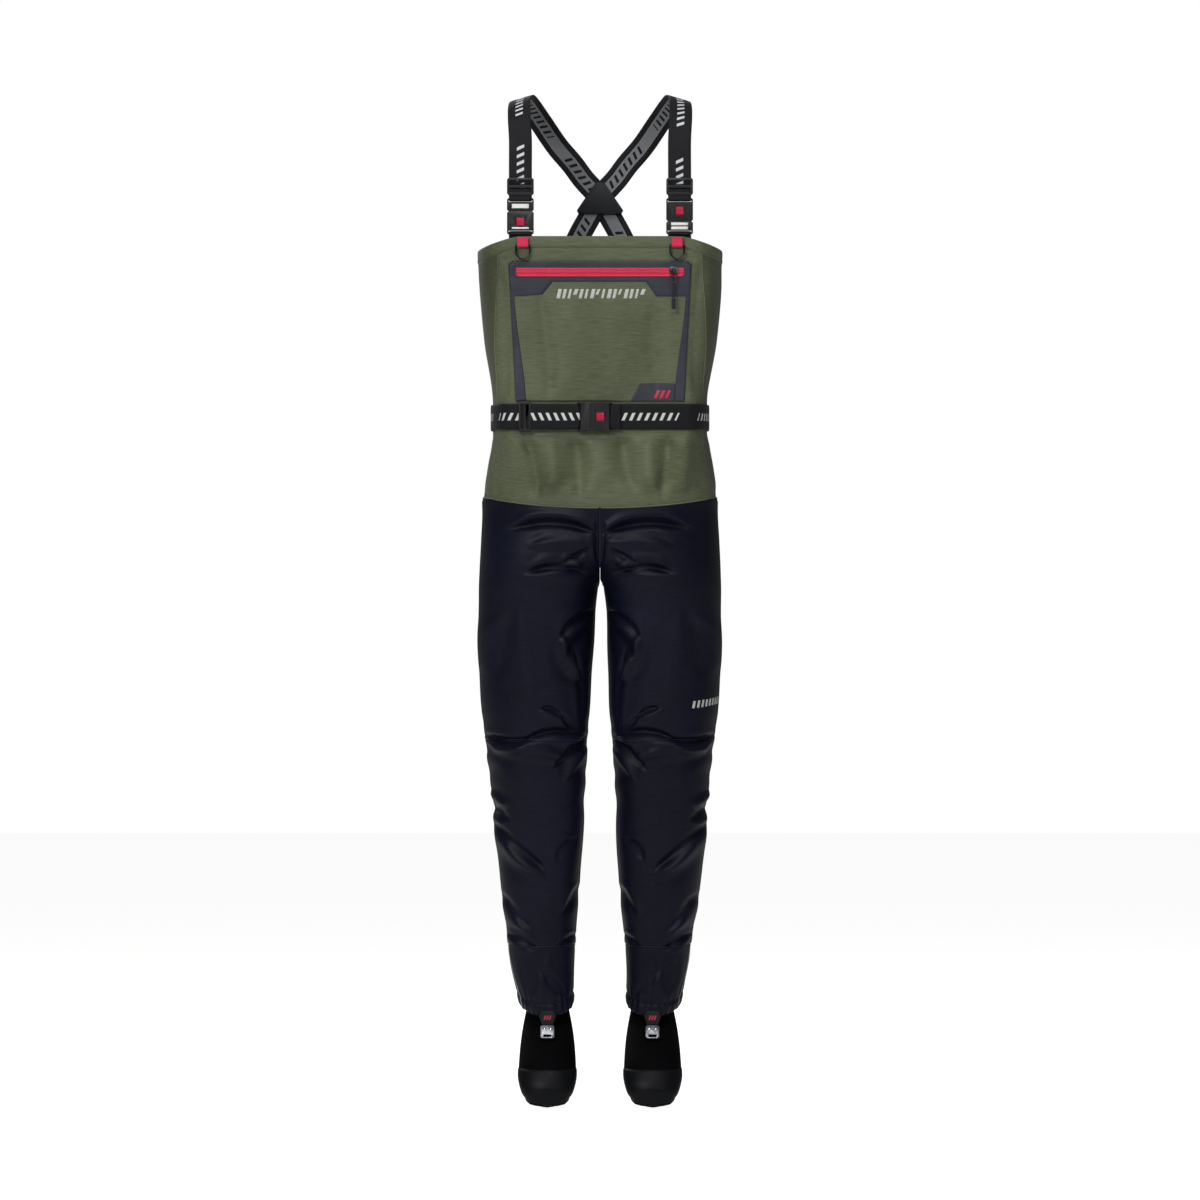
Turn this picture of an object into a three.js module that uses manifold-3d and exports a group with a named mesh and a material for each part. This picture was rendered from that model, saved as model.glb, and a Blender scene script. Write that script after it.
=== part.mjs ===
// Chest waders: bib with pocket, crossed shoulder straps, waist belt, trouser legs with gravel
// guards, and neoprene booties. Millimetres. +X is the wearer's left, -Y the front, +Z up.
// The origin lies midway between the undersides of the two straps at the top of the shoulders.
import * as THREE from 'three';
import { mergeVertices } from 'three/addons/utils/BufferGeometryUtils.js';
import Module from 'manifold-3d';

const wasm = await Module();
wasm.setup();

// ---------------------------------------------------------------- driving dimensions
const GAP = 0.3; // clearance between pieces that lie on each other
const FABRIC = 2.4; // wall of a laminated fabric panel
const WEB = 1.8; // thickness of all webbing

const HEM_FRONT = -233; // heights of the garment's edges and seams
const HEM_SIDE = -254;
const HEM_BACK = -300;
const HEM_HEIGHT = 20;
const BELT_Z = -530;
const HIP_CENTRE = -680;
const HIP_SIDE = -662;
const CROTCH = -774;
const KNEE = -1063;
const SHIN = -1406;
const GUARD_HEM = -1521;

const CHEST_HALF = 204; // half width and half depth of the bib
const CHEST_DEPTH = 122;
const WAIST_HALF = 178;
const WAIST_DEPTH = 105;
const HIP_HALF = 195;
const HIP_DEPTH = 116;
const FLAT_CHEST = 154; // half width of the flat front
const FLAT_WAIST = 141;

const STRAP_WIDTH = 38;
const STRAP_X = 131; // strap centre line from the middle
const STRAP_STRAIGHT = 75; // depth below the shoulder at which the front run becomes straight
const BACK_STRAP_DEPTH = 120; // how far the straps stand behind the middle where they cross
const CROSS_Z = -157;
const ANCHOR_X = 86; // strap end on the back panel
const ANCHOR_DROP = 28; // length of strap sewn below the back hem

const BUCKLE_RIM = 3; // buckle frame beside the webbing
const BUCKLE_THICK = 11;
const SOCKET_LENGTH = 38;
const HEAD_LENGTH = 22; // tongue outside the socket
const BLADE_LENGTH = 18; // tongue inside the socket
const BLADE_THICK = 4.6;
const BUTTON = 13; // side of the release button
const BUTTON_TRAVEL = 2;
const BAR_RADIUS = 1.6; // bar that the webbing turns around
const BUCKLE_CLEAR = 2.5; // buckle above the front hem
const ADJUSTER_HEIGHT = 28;
const ADJUSTER_ABOVE = 5; // adjuster above the buckle

const RING_WIRE = 1.5; // D-ring wire radius
const RING_HALF = 11.5;
const RING_DROP = 11; // straight legs of the D
const RING_X = 127;
const RING_LOOP_WIDTH = 18;
const RING_Z = -248;

const POCKET_TOP = -274;
const POCKET_FLOOR = -504;
const POCKET_HALF_TOP = 151;
const POCKET_HALF_FLOOR = 139;
const PATCH = 1.4; // thickness of the pocket layers
const TRIM_BAND = 17; // width of the trim beside the pocket
const ZIP_Z = -290;
const ZIP_HEIGHT = 19;
const ZIP_HALF = 138;
const ZIP_RIB = 5;
const ZIP_RIB_RISE = 0.8;
const SLIDER_X = 121;
const SLIDER_LENGTH = 14;
const PULL_LENGTH = 20;
const GRIP_LENGTH = 44;

const BELT_WIDTH = 42;
const BELT_MOUTH_X = -16.5; // where tongue and socket meet
const BELT_SLIDER_X = -124;
const BELT_SLIDER_LENGTH = 20;
const BELT_LOOP_X = 88;
const BELT_LOOP_WIDTH = 14;

const FOOT_TILT = 30; // degrees that the toes point down
const ANKLE_Z = -1500;
const ANKLE_Y = 6;
const ANKLE_X = 87;
const HEEL = 62; // foot lengths from the ankle
const TOE = 188;
const SOLE_DEPTH = 85;
const BALL_HALF = 48;
const NEOPRENE = 4.5;
const SOLE_THICK = 6;
const TOE_CAP = 52; // length of the toe cap
const SOCK_TOP = -1430;
const TAB_WIDTH = 28;
const HOOK_WIDTH = 23;
const HOOK_LENGTH = 28;

// ---------------------------------------------------------------- finishes
const finish = (color, roughness, metalness = 0) =>
  new THREE.MeshStandardMaterial({ color, roughness, metalness });
const OLIVE = finish(0x5d614d, 0.75);
const NAVY = finish(0x1c1e2c, 0.75);
const CHARCOAL = finish(0x35383f, 0.7);
const RED = finish(0xc01c3a, 0.5);
const WEBBING = finish(0x1b1b1e, 0.85);
const PLASTIC = finish(0x131315, 0.45);
const STEEL = finish(0x2c2c2e, 0.35, 1);
const NEOPRENE_BLACK = finish(0x0d0d11, 0.85);
const RUBBER = finish(0x18191d, 0.7);

// ---------------------------------------------------------------- helpers
const waders = new THREE.Group();
const V = (x, y, z) => new THREE.Vector3(x, y, z);
const mix = THREE.MathUtils.lerp;
const smooth = THREE.MathUtils.smoothstep;
const rad = THREE.MathUtils.degToRad;

// A monotone cubic through rows [height, value, value, ...] from the top down.
function profile(rows) {
  const slope = (i, k) => (rows[i + 1][k] - rows[i][k]) / (rows[i + 1][0] - rows[i][0]);
  const tangent = (i, k) => {
    if (i === 0) return slope(0, k);
    if (i === rows.length - 1) return slope(i - 1, k);
    const [a, b] = [slope(i - 1, k), slope(i, k)];
    return a * b <= 0 ? 0 : (2 * a * b) / (a + b);
  };
  return (z, k) => {
    let i = rows.findIndex((row, n) => n > 0 && z >= row[0]) - 1;
    if (i < 0) i = z > rows[0][0] ? 0 : rows.length - 2;
    const span = rows[i + 1][0] - rows[i][0];
    const t = THREE.MathUtils.clamp((z - rows[i][0]) / span, 0, 1);
    const [p, q] = [rows[i][k], rows[i + 1][k]];
    const [m, n] = [tangent(i, k) * span, tangent(i + 1, k) * span];
    return p + t * (m + t * (3 * (q - p) - 2 * m - n + t * (2 * (p - q) + m + n)));
  };
}

// Triangles as a BufferGeometry with its faces turned outwards.
function closedMesh(positions, triangles) {
  let volume = 0;
  const at = (i) => V(...positions.slice(3 * i, 3 * i + 3));
  for (let i = 0; i < triangles.length; i += 3) {
    const [a, b, c] = [at(triangles[i]), at(triangles[i + 1]), at(triangles[i + 2])];
    volume += a.dot(b.cross(c));
  }
  const geometry = new THREE.BufferGeometry();
  geometry.setAttribute('position', new THREE.Float32BufferAttribute(positions, 3));
  geometry.setIndex(volume < 0 ? triangles.reverse() : triangles);
  return geometry;
}

// A wall that follows surface(u, v) between two distances along its outward normal dU x dV.
// With ring set, u runs once round and the wall closes on itself.
function wall(surface, uSteps, vSteps, inner, outer, ring = false) {
  const positions = [];
  const columns = ring ? uSteps : uSteps + 1;
  const step = 1e-3;
  for (const offset of [inner, outer]) {
    for (let j = 0; j <= vSteps; j += 1) {
      for (let i = 0; i < columns; i += 1) {
        const [u, v] = [i / uSteps, j / vSteps];
        const [u0, u1] = ring ? [u - step, u + step] : [Math.max(u - step, 0), Math.min(u + step, 1)];
        const [v0, v1] = [Math.max(v - step, 0), Math.min(v + step, 1)];
        const du = surface(u1, v).sub(surface(u0, v));
        const dv = surface(u, v1).sub(surface(u, v0));
        const point = surface(u, v).addScaledVector(du.cross(dv).normalize(), offset);
        positions.push(point.x, point.y, point.z);
      }
    }
  }
  const layer = columns * (vSteps + 1);
  const index = (i, j, k) => k * layer + j * columns + (i % columns);
  const triangles = [];
  const quad = (a, b, c, d) => triangles.push(a, b, c, a, c, d);
  for (let j = 0; j < vSteps; j += 1) {
    for (let i = 0; i < uSteps; i += 1) {
      quad(index(i, j, 1), index(i + 1, j, 1), index(i + 1, j + 1, 1), index(i, j + 1, 1));
      quad(index(i, j, 0), index(i, j + 1, 0), index(i + 1, j + 1, 0), index(i + 1, j, 0));
    }
    if (!ring) {
      quad(index(0, j, 0), index(0, j, 1), index(0, j + 1, 1), index(0, j + 1, 0));
      quad(index(uSteps, j, 1), index(uSteps, j, 0), index(uSteps, j + 1, 0), index(uSteps, j + 1, 1));
    }
  }
  for (let i = 0; i < uSteps; i += 1) {
    quad(index(i, 0, 0), index(i + 1, 0, 0), index(i + 1, 0, 1), index(i, 0, 1));
    quad(index(i, vSteps, 1), index(i + 1, vSteps, 1), index(i + 1, vSteps, 0), index(i, vSteps, 0));
  }
  return closedMesh(positions, triangles);
}

// The same shape on the other side of the body.
function mirrored(geometry) {
  const positions = Array.from(geometry.attributes.position.array);
  for (let i = 0; i < positions.length; i += 3) positions[i] *= -1;
  return closedMesh(positions, Array.from(geometry.index.array));
}

// Booleans: a three.js geometry as a manifold, and back.
function solid(geometry) {
  const bare = geometry.clone();
  bare.deleteAttribute('normal');
  bare.deleteAttribute('uv');
  const merged = mergeVertices(bare, 1e-4);
  const triVerts = new Uint32Array(merged.index.array);
  const vertProperties = new Float32Array(merged.attributes.position.array);
  return new wasm.Manifold(new wasm.Mesh({ numProp: 3, vertProperties, triVerts }));
}

function surfaceOf(manifold) {
  const { vertProperties, triVerts } = manifold.simplify(0.02).getMesh();
  return closedMesh(Array.from(vertProperties), Array.from(triVerts));
}

const cut = (base, ...tools) => tools.reduce((rest, tool) => rest.subtract(tool), base);
const join = (...parts) => parts.reduce((sum, part) => sum.add(part));

// A block between two corners, as a manifold.
function block(low, high) {
  const size = high.map((value, i) => value - low[i]);
  const box = new THREE.BoxGeometry(...size);
  box.translate(...low.map((value, i) => value + size[i] / 2));
  return solid(box);
}

// An outline in the XZ plane carried along Y from front to back, as a manifold.
function slab(points, front, back) {
  const outline = new THREE.Shape(points.map(([x, z]) => new THREE.Vector2(x, z)));
  const body = new THREE.ExtrudeGeometry(outline, { depth: back - front, bevelEnabled: false });
  body.rotateX(Math.PI / 2);
  body.translate(0, back, 0);
  return solid(body);
}

// Outline of a rectangle with cut corners.
function plateOutline(halfWidth, bottom, top, corner) {
  return [
    [-halfWidth + corner, bottom], [halfWidth - corner, bottom], [halfWidth, bottom + corner],
    [halfWidth, top - corner], [halfWidth - corner, top], [-halfWidth + corner, top],
    [-halfWidth, top - corner], [-halfWidth, bottom + corner],
  ];
}

// A round bar along X, as a manifold.
function bar(length, y, z, radius) {
  const rod = new THREE.CylinderGeometry(radius, radius, length, 12);
  rod.rotateZ(Math.PI / 2);
  rod.translate(0, y, z);
  return solid(rod);
}

function place(name, geometry, material, parent = waders) {
  const mesh = new THREE.Mesh(geometry, material);
  mesh.name = name;
  parent.add(mesh);
}

const SIDES = [['left', 1], ['right', -1]]; // the wearer's left is +X

// A piece built on the wearer's left, and its mirror image on the right.
function pair(name, geometry, material) {
  place(`${name}_left`, geometry, material);
  place(`${name}_right`, mirrored(geometry), material);
}

// ---------------------------------------------------------------- body surfaces
const power = (value, exponent) => Math.sign(value) * Math.abs(value) ** exponent;

const trunk = profile([ // height, half width, half depth, flat half width
  [HEM_FRONT, CHEST_HALF, CHEST_DEPTH, FLAT_CHEST],
  [HEM_SIDE - 50, CHEST_HALF - 3, mix(WAIST_DEPTH, CHEST_DEPTH, 0.76), FLAT_CHEST - 1],
  [BELT_Z + 130, WAIST_HALF + 15, mix(WAIST_DEPTH, CHEST_DEPTH, 0.42), FLAT_WAIST + 6],
  [BELT_Z + 24, WAIST_HALF, WAIST_DEPTH, FLAT_WAIST],
  [BELT_Z - 24, WAIST_HALF, WAIST_DEPTH, FLAT_WAIST],
  [BELT_Z - 80, WAIST_HALF + 8, WAIST_DEPTH + 6, FLAT_WAIST * 0.62],
  [HIP_SIDE, HIP_HALF - 2, HIP_DEPTH - 1, 0],
  [HIP_CENTRE, HIP_HALF, HIP_DEPTH, 0],
]);
const TRUNK_POWER = 2 / 2.2;

// The share of a quarter turn that the flat front takes at a height.
const flatAngle = (z) => 45 * trunk(z, 3) / trunk(z, 1);

// An angle round the trunk runs from the front centre (0) towards +X, past the back (180).
const signed = (angle) => (angle > 180 ? angle - 360 : angle);

function trunkPoint(angle, z) {
  const turn = Math.abs(signed(angle));
  const quarter = turn <= 90 ? turn : 180 - turn;
  const [half, depth, flat, split] = [trunk(z, 1), trunk(z, 2), trunk(z, 3), flatAngle(z)];
  const face = turn <= 90 ? -1 : 1;
  const side = Math.sign(signed(angle));
  if (quarter < split) return V(side * flat * quarter / split, face * depth, z);
  const phi = rad((quarter - split) / (90 - split) * 90);
  const x = flat + (half - flat) * Math.sin(phi) ** TRUNK_POWER;
  return V(side * x, face * depth * power(Math.cos(phi), TRUNK_POWER), z);
}

// The front of the trunk, or its back, at a distance x from the middle.
function trunkFace(x, z, face = -1) {
  const [half, depth, flat] = [trunk(z, 1), trunk(z, 2), trunk(z, 3)];
  const reach = Math.max(0, (Math.abs(x) - flat) / (half - flat));
  return V(x, face * depth * (1 - Math.min(reach, 1) ** (2 / TRUNK_POWER)) ** (TRUNK_POWER / 2), z);
}

// Top edge of the bib, and the seam between bib and trousers, round the body.
function hemHeight(angle) {
  const turn = Math.abs(signed(angle));
  const side = mix(HEM_FRONT, HEM_SIDE, smooth(turn, 42, 90));
  return mix(side, HEM_BACK, smooth(turn, 90, 150));
}
const hipHeight = (angle) => mix(HIP_CENTRE, HIP_SIDE, Math.sin(rad(angle)) ** 2);

// Seams of the bib: angle from the front centre at a height.
const frontSeam = profile([[HEM_FRONT, 47], [BELT_Z, 68], [HIP_CENTRE, 84]]);
const backSeam = profile([[HEM_FRONT, 124], [BELT_Z, 116], [HIP_CENTRE, 104]]);

const leg = profile([ // height, centre x, half width, half depth, centre y
  [CROTCH, HIP_HALF / 2 + 2.5, HIP_HALF / 2 + 2.5, HIP_DEPTH + 1, 0],
  [CROTCH - 45, 104, 97, HIP_DEPTH - 8, 0],
  [CROTCH - 190, 106, 92, 96, -2],
  [KNEE, 106, 85, 86, -8],
  [KNEE - 66, 104, 78, 80, -4],
  [KNEE - 198, 100, 70, 74, 8],
  [SHIN + 46, 97.5, 59, 64, 10],
  [SHIN - 20, 96.5, 53, 57, 9],
  [SHIN - 86, 90, 45, 52, 6],
  [GUARD_HEM, 87, 39.5, 47, 4],
]);

// Centre, half width and half depth of a leg; above the crotch the legs run into each other.
function legOval(z) {
  if (z <= CROTCH) return [leg(z, 1), leg(z, 2), leg(z, 3), leg(z, 4)];
  const down = smooth(HIP_CENTRE - z, 0, HIP_CENTRE - CROTCH);
  const outer = mix(HIP_HALF, 2 * leg(CROTCH, 1), down);
  const centre = outer / 2 * Math.max(0, (HIP_CENTRE - z) / (HIP_CENTRE - CROTCH));
  return [centre, outer - centre, mix(HIP_DEPTH, leg(CROTCH, 3), down), 0];
}

// A point of the wearer's left leg; 0 is its front, 90 its outer side, -90 its inner side.
function legPoint(angle, z) {
  const [centre, half, depth, middle] = legOval(z);
  const sine = Math.sin(rad(angle));
  const cosine = Math.cos(rad(angle));
  return V(centre + half * power(sine, TRUNK_POWER), middle - depth * power(cosine, TRUNK_POWER), z);
}

// Angle at which a leg's section meets the plane between the legs, or its inner side.
function innerAngle(z) {
  const [centre, half] = legOval(z);
  const reach = Math.min(1, (centre - GAP) / half);
  return -THREE.MathUtils.radToDeg(Math.asin(Math.max(0, reach) ** (1 / TRUNK_POWER)));
}

// ---------------------------------------------------------------- bib
const SEAM = 0.12; // degrees that a panel stops short of its seam
const HEM_CLEAR = 0.8; // curved edges are chords, so they keep a little more clearance
const trunkWall = (from, to, steps) => wall((u, v) => {
  const angle = (z) => mix(from(z) + SEAM, to(z) - SEAM, u);
  const height = (a) => mix(hipHeight(a) + GAP, hemHeight(a) - HEM_HEIGHT - HEM_CLEAR, v);
  let z = height(angle(HEM_SIDE));
  for (let round = 0; round < 4; round += 1) z = height(angle(z));
  return trunkPoint(angle(z), z);
}, steps, 10, -FABRIC, 0);

place('bib_front_panel', trunkWall((z) => -frontSeam(z, 1), (z) => frontSeam(z, 1), 18), OLIVE);
pair('bib_side_panel', trunkWall((z) => frontSeam(z, 1), (z) => backSeam(z, 1), 12), OLIVE);
place('bib_back_panel', trunkWall((z) => backSeam(z, 1), (z) => 360 - backSeam(z, 1), 16), OLIVE);

place('chest_hem', wall((u, v) => {
  const angle = 360 * u;
  return trunkPoint(angle, hemHeight(angle) - (1 - v) * HEM_HEIGHT);
}, 72, 1, -FABRIC, 0.6, true), OLIVE);

// ---------------------------------------------------------------- pocket on the bib front
const pocketEdge = (z) => mix(POCKET_HALF_TOP, POCKET_HALF_FLOOR,
  (POCKET_TOP - z) / (POCKET_TOP - POCKET_FLOOR));
const pocketWall = (inner, outer) => wall((u, v) => {
  const z = mix(POCKET_FLOOR, POCKET_TOP, v);
  return trunkFace(mix(-1, 1, u) * pocketEdge(z), z);
}, 14, 8, inner, outer);

const PANEL_IN = 2 * GAP;
const PANEL_OUT = PANEL_IN + PATCH;
const TRIM_IN = PANEL_OUT + GAP;
const TRIM_OUT = TRIM_IN + PATCH;
place('pocket_panel', pocketWall(PANEL_IN, PANEL_OUT), OLIVE);

const trimSheet = solid(pocketWall(TRIM_IN, TRIM_OUT));
const through = (points) => slab(points, -2 * CHEST_DEPTH, 0);
const bandBottom = ZIP_Z - 42;
const notchTop = ZIP_Z - 18;
const innerEdge = (z) => pocketEdge(z) - TRIM_BAND * mix(0.4, 1, smooth(bandBottom - z, 0, 170));
const FAR = POCKET_FLOOR - 10;
const opening = through([
  [-innerEdge(FAR), FAR], [innerEdge(FAR), FAR], [innerEdge(bandBottom), bandBottom],
  [92, bandBottom], [76, notchTop], [-78, notchTop], [-95, bandBottom + 3],
  [-innerEdge(bandBottom), bandBottom],
]);
const zipOutline = (clear) => [
  [-ZIP_HALF - clear, ZIP_Z - ZIP_HEIGHT / 2 - clear], [ZIP_HALF + clear, ZIP_Z - ZIP_HEIGHT / 2 - clear],
  [ZIP_HALF + clear, ZIP_Z + ZIP_HEIGHT / 2 + clear], [-ZIP_HALF - clear, ZIP_Z + ZIP_HEIGHT / 2 + clear],
];
place('pocket_trim', surfaceOf(cut(trimSheet, opening, through(zipOutline(GAP)))), CHARCOAL);

const patchTop = POCKET_FLOOR + 29;
const cornerPatch = through([
  [46, FAR], [innerEdge(FAR) - GAP, FAR], [innerEdge(patchTop) - GAP, patchTop], [66, patchTop],
]);
place('pocket_corner_patch', surfaceOf(trimSheet.intersect(cornerPatch)), CHARCOAL);

// ---------------------------------------------------------------- zip
const zipFace = trunkFace(0, ZIP_Z).y - TRIM_OUT; // outer face of the tape
const rib = block([-ZIP_HALF + 4, zipFace - ZIP_RIB_RISE, ZIP_Z - ZIP_RIB / 2],
  [ZIP_HALF - 4, zipFace + PATCH / 2, ZIP_Z + ZIP_RIB / 2]);
place('zip_tape', surfaceOf(join(trimSheet.intersect(through(zipOutline(0))), rib)), RED);

const sliderBack = zipFace - GAP - 0.6;
const sliderFront = sliderBack - 3.4;
const slider = cut(
  slab(plateOutline(SLIDER_LENGTH / 2, -6, 6, 2), sliderFront, sliderBack),
  block([-SLIDER_LENGTH, zipFace - ZIP_RIB_RISE - GAP, -ZIP_RIB / 2 - GAP],
    [SLIDER_LENGTH, 0, ZIP_RIB / 2 + GAP]),
);
const PULL_WIRE = 1.1;
const pinY = sliderFront - PULL_WIRE - GAP - 0.7;
const bridge = cut(
  block([-1.6, pinY - PULL_WIRE - GAP - 1.3, -4.2], [1.6, sliderFront + 0.5, 4.2]),
  bar(10, pinY, 0, PULL_WIRE + GAP),
);
const sliderGroup = new THREE.Group();
sliderGroup.position.set(SLIDER_X, 0, ZIP_Z);
waders.add(sliderGroup);
place('zip_slider', surfaceOf(join(slider, bridge)), STEEL, sliderGroup);

// A round rod along points; closed joins its ends. No stretch of it runs along the vector flat.
function rod(points, radius, sides, closed, flat) {
  const count = points.length;
  const positions = [];
  const triangles = [];
  points.forEach((point, i) => {
    const next = points[closed ? (i + 1) % count : Math.min(i + 1, count - 1)];
    const last = points[closed ? (i + count - 1) % count : Math.max(i - 1, 0)];
    const along = next.clone().sub(last).normalize();
    const side = along.clone().cross(flat).normalize();
    const up = side.clone().cross(along);
    for (let k = 0; k < sides; k += 1) {
      const turn = 2 * Math.PI * k / sides;
      const at = point.clone().addScaledVector(side, radius * Math.cos(turn));
      positions.push(...at.addScaledVector(up, radius * Math.sin(turn)).toArray());
    }
  });
  const index = (i, k) => (i % count) * sides + (k % sides);
  for (let i = 0; i < (closed ? count : count - 1); i += 1) {
    for (let k = 0; k < sides; k += 1) {
      triangles.push(index(i, k), index(i + 1, k), index(i + 1, k + 1));
      triangles.push(index(i, k), index(i + 1, k + 1), index(i, k + 1));
    }
  }
  if (!closed) {
    for (let k = 1; k < sides - 1; k += 1) {
      triangles.push(index(0, 0), index(0, k), index(0, k + 1));
      triangles.push(index(count - 1, 0), index(count - 1, k + 1), index(count - 1, k));
    }
  }
  return closedMesh(positions, triangles);
}

// The pull hangs from the slider's bridge: a long wire loop and a moulded grip.
const pullGroup = new THREE.Group();
pullGroup.position.set(SLIDER_X, pinY, ZIP_Z);
waders.add(pullGroup);
const PULL_HALF = 3.6;
const pullWire = [
  V(-PULL_HALF, 0, 0), V(PULL_HALF, 0, 0), V(PULL_HALF, 0, 3 - PULL_LENGTH),
  V(PULL_HALF / 2, 0, -PULL_LENGTH), V(-PULL_HALF / 2, 0, -PULL_LENGTH), V(-PULL_HALF, 0, 3 - PULL_LENGTH),
];
place('zip_pull', rod(pullWire, PULL_WIRE, 8, true, V(0, 1, 0)), STEEL, pullGroup);
const GRIP_RADIUS = 1.8;
const KNOB_RADIUS = 3.4;
const gripTop = -PULL_LENGTH + PULL_WIRE + GAP + GRIP_RADIUS;
const gripPath = [
  V(0, 0, -PULL_LENGTH - PULL_WIRE - GAP), V(0, 0, -PULL_LENGTH - GRIP_LENGTH * 0.6),
];
const knob = new THREE.LatheGeometry([
  [0, 0], [KNOB_RADIUS - 1, 0], [KNOB_RADIUS, 2], [KNOB_RADIUS, GRIP_LENGTH * 0.4 - 3],
  [GRIP_RADIUS, GRIP_LENGTH * 0.4], [0, GRIP_LENGTH * 0.4],
].map(([x, y]) => new THREE.Vector2(x, y)), 10);
knob.rotateX(Math.PI / 2);
knob.translate(0, 0, -PULL_LENGTH - GRIP_LENGTH);
place('zip_pull_grip', surfaceOf(join(solid(rod(gripPath, GRIP_RADIUS, 8, false, V(0, 1, 0))),
  solid(knob))), RUBBER, pullGroup);

// ---------------------------------------------------------------- webbing
// Flat webbing along a path of [point, outward face direction], with its width across.
function webbing(path, width, thickness, steps) {
  const centre = new THREE.CatmullRomCurve3(path.map(([point]) => point), false, 'centripetal');
  const faces = new THREE.CatmullRomCurve3(path.map(([, face]) => face), false, 'centripetal');
  return wall((u, v) => {
    const face = faces.getPoint(u).normalize();
    const across = face.clone().cross(centre.getTangent(u)).normalize();
    return centre.getPoint(u).addScaledVector(across, (v - 0.5) * width);
  }, steps, 1, -thickness / 2, thickness / 2);
}

// Webbing whose path is drawn in one plane: a list of [a, b] set on two axes, width on the third.
function ribbon(points, width, thickness, put) {
  return wall((u, v) => {
    const along = u * (points.length - 1);
    const i = Math.min(Math.floor(along + 1e-6), points.length - 2);
    const t = along - i;
    return put(mix(points[i][0], points[i + 1][0], t), mix(points[i][1], points[i + 1][1], t),
      (v - 0.5) * width);
  }, points.length - 1, 1, -thickness / 2, thickness / 2);
}

// Half a turn round a bar, from one side past the far side to the other.
const TURN_STEPS = 6;
const halfTurn = (centre, radius, from, way = 1) => Array.from({ length: TURN_STEPS + 1 }, (_, i) => {
  const turn = from + way * Math.PI * i / TURN_STEPS;
  return [centre[0] + radius * Math.cos(turn), centre[1] + radius * Math.sin(turn)];
});

// ---------------------------------------------------------------- release buckle
// Seen from its mouth: the socket reaches down -Z, the tongue up +Z, the button faces -Y.
const TURN = BAR_RADIUS + 0.4 + WEB / 2; // webbing centre line round a bar
const BAR_INSET = 2; // bar behind the end of the buckle
const BUTTON_BACK = 17; // button centre behind the mouth

function barEnd(body, width, z, away) {
  const reach = TURN + WEB / 2 + 0.6;
  const [low, high] = away > 0 ? [z - reach, z + 10] : [z - 10, z + reach];
  const room = block([-width / 2 - 0.5, -20, low], [width / 2 + 0.5, 20, high]);
  return join(cut(body, room), bar(width + 3, 0, z, BAR_RADIUS));
}

function buckle(width) {
  const half = width / 2 + BUCKLE_RIM;
  const thick = BUCKLE_THICK / 2;
  const blade = BLADE_THICK / 2;
  const shell = slab(plateOutline(half, -SOCKET_LENGTH, 0, 2.5), -thick, thick);
  const bladeHalf = half - 4.3;
  const cavity = block([-bladeHalf - GAP, -blade - GAP, -BLADE_LENGTH - 4],
    [bladeHalf + GAP, blade + GAP, 5]);
  const windowHalf = BUTTON / 2 + GAP;
  const window = block([-windowHalf, -20, -BUTTON_BACK - windowHalf], [windowHalf, 0, -BUTTON_BACK + windowHalf]);
  const socket = barEnd(cut(shell, cavity, window), width, BAR_INSET - SOCKET_LENGTH, -1);

  const head = slab(plateOutline(half, GAP, HEAD_LENGTH, 2.5), -thick, thick);
  const prongs = cut(
    block([-bladeHalf, -blade, -BLADE_LENGTH], [bladeHalf, blade, 1]),
    block([-bladeHalf / 2 + 2, -20, -BLADE_LENGTH - 1], [bladeHalf / 2 - 2, 20, -BUTTON / 2]),
  );
  const tongue = barEnd(join(head, prongs), width, HEAD_LENGTH - BAR_INSET, 1);

  const headBack = -blade - GAP - BUTTON_TRAVEL; // the pressed button stops short of the prongs
  const button = join(
    block([-BUTTON / 2, -thick - 0.8, -BUTTON_BACK - BUTTON / 2],
      [BUTTON / 2, headBack, -BUTTON_BACK + BUTTON / 2]),
    block([-4, headBack - 0.5, -BUTTON_BACK - 3], [4, blade - BUTTON_TRAVEL, -BUTTON_BACK + 3]),
  );
  return { socket: surfaceOf(socket), tongue: surfaceOf(tongue), button: surfaceOf(button) };
}

// ---------------------------------------------------------------- shoulder hardware
const SEWN_CLEAR = 0.9; // room for the panel's faceted corner beside the webbing sewn inside it
const sewnY = (z) => -trunk(z, 2) + FABRIC + SEWN_CLEAR + WEB / 2;
const STRAP_Y = sewnY(HEM_FRONT) - TURN;
const TAB_SEWN = 48; // length of webbing sewn below the hem
const stackFoot = HEM_FRONT + BUCKLE_CLEAR;
const lowerBar = stackFoot + BAR_INSET;
const stackTop = stackFoot + SOCKET_LENGTH + HEAD_LENGTH;
const upperBar = stackTop - BAR_INSET;
const adjusterFoot = stackTop + ADJUSTER_ABOVE;
const adjusterTop = adjusterFoot + ADJUSTER_HEIGHT;
const adjusterMiddle = adjusterFoot + ADJUSTER_HEIGHT / 2;
const strapFoot = adjusterMiddle + 4; // the shoulder strap ends inside its adjuster
const loopTop = adjusterMiddle - 4;

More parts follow.
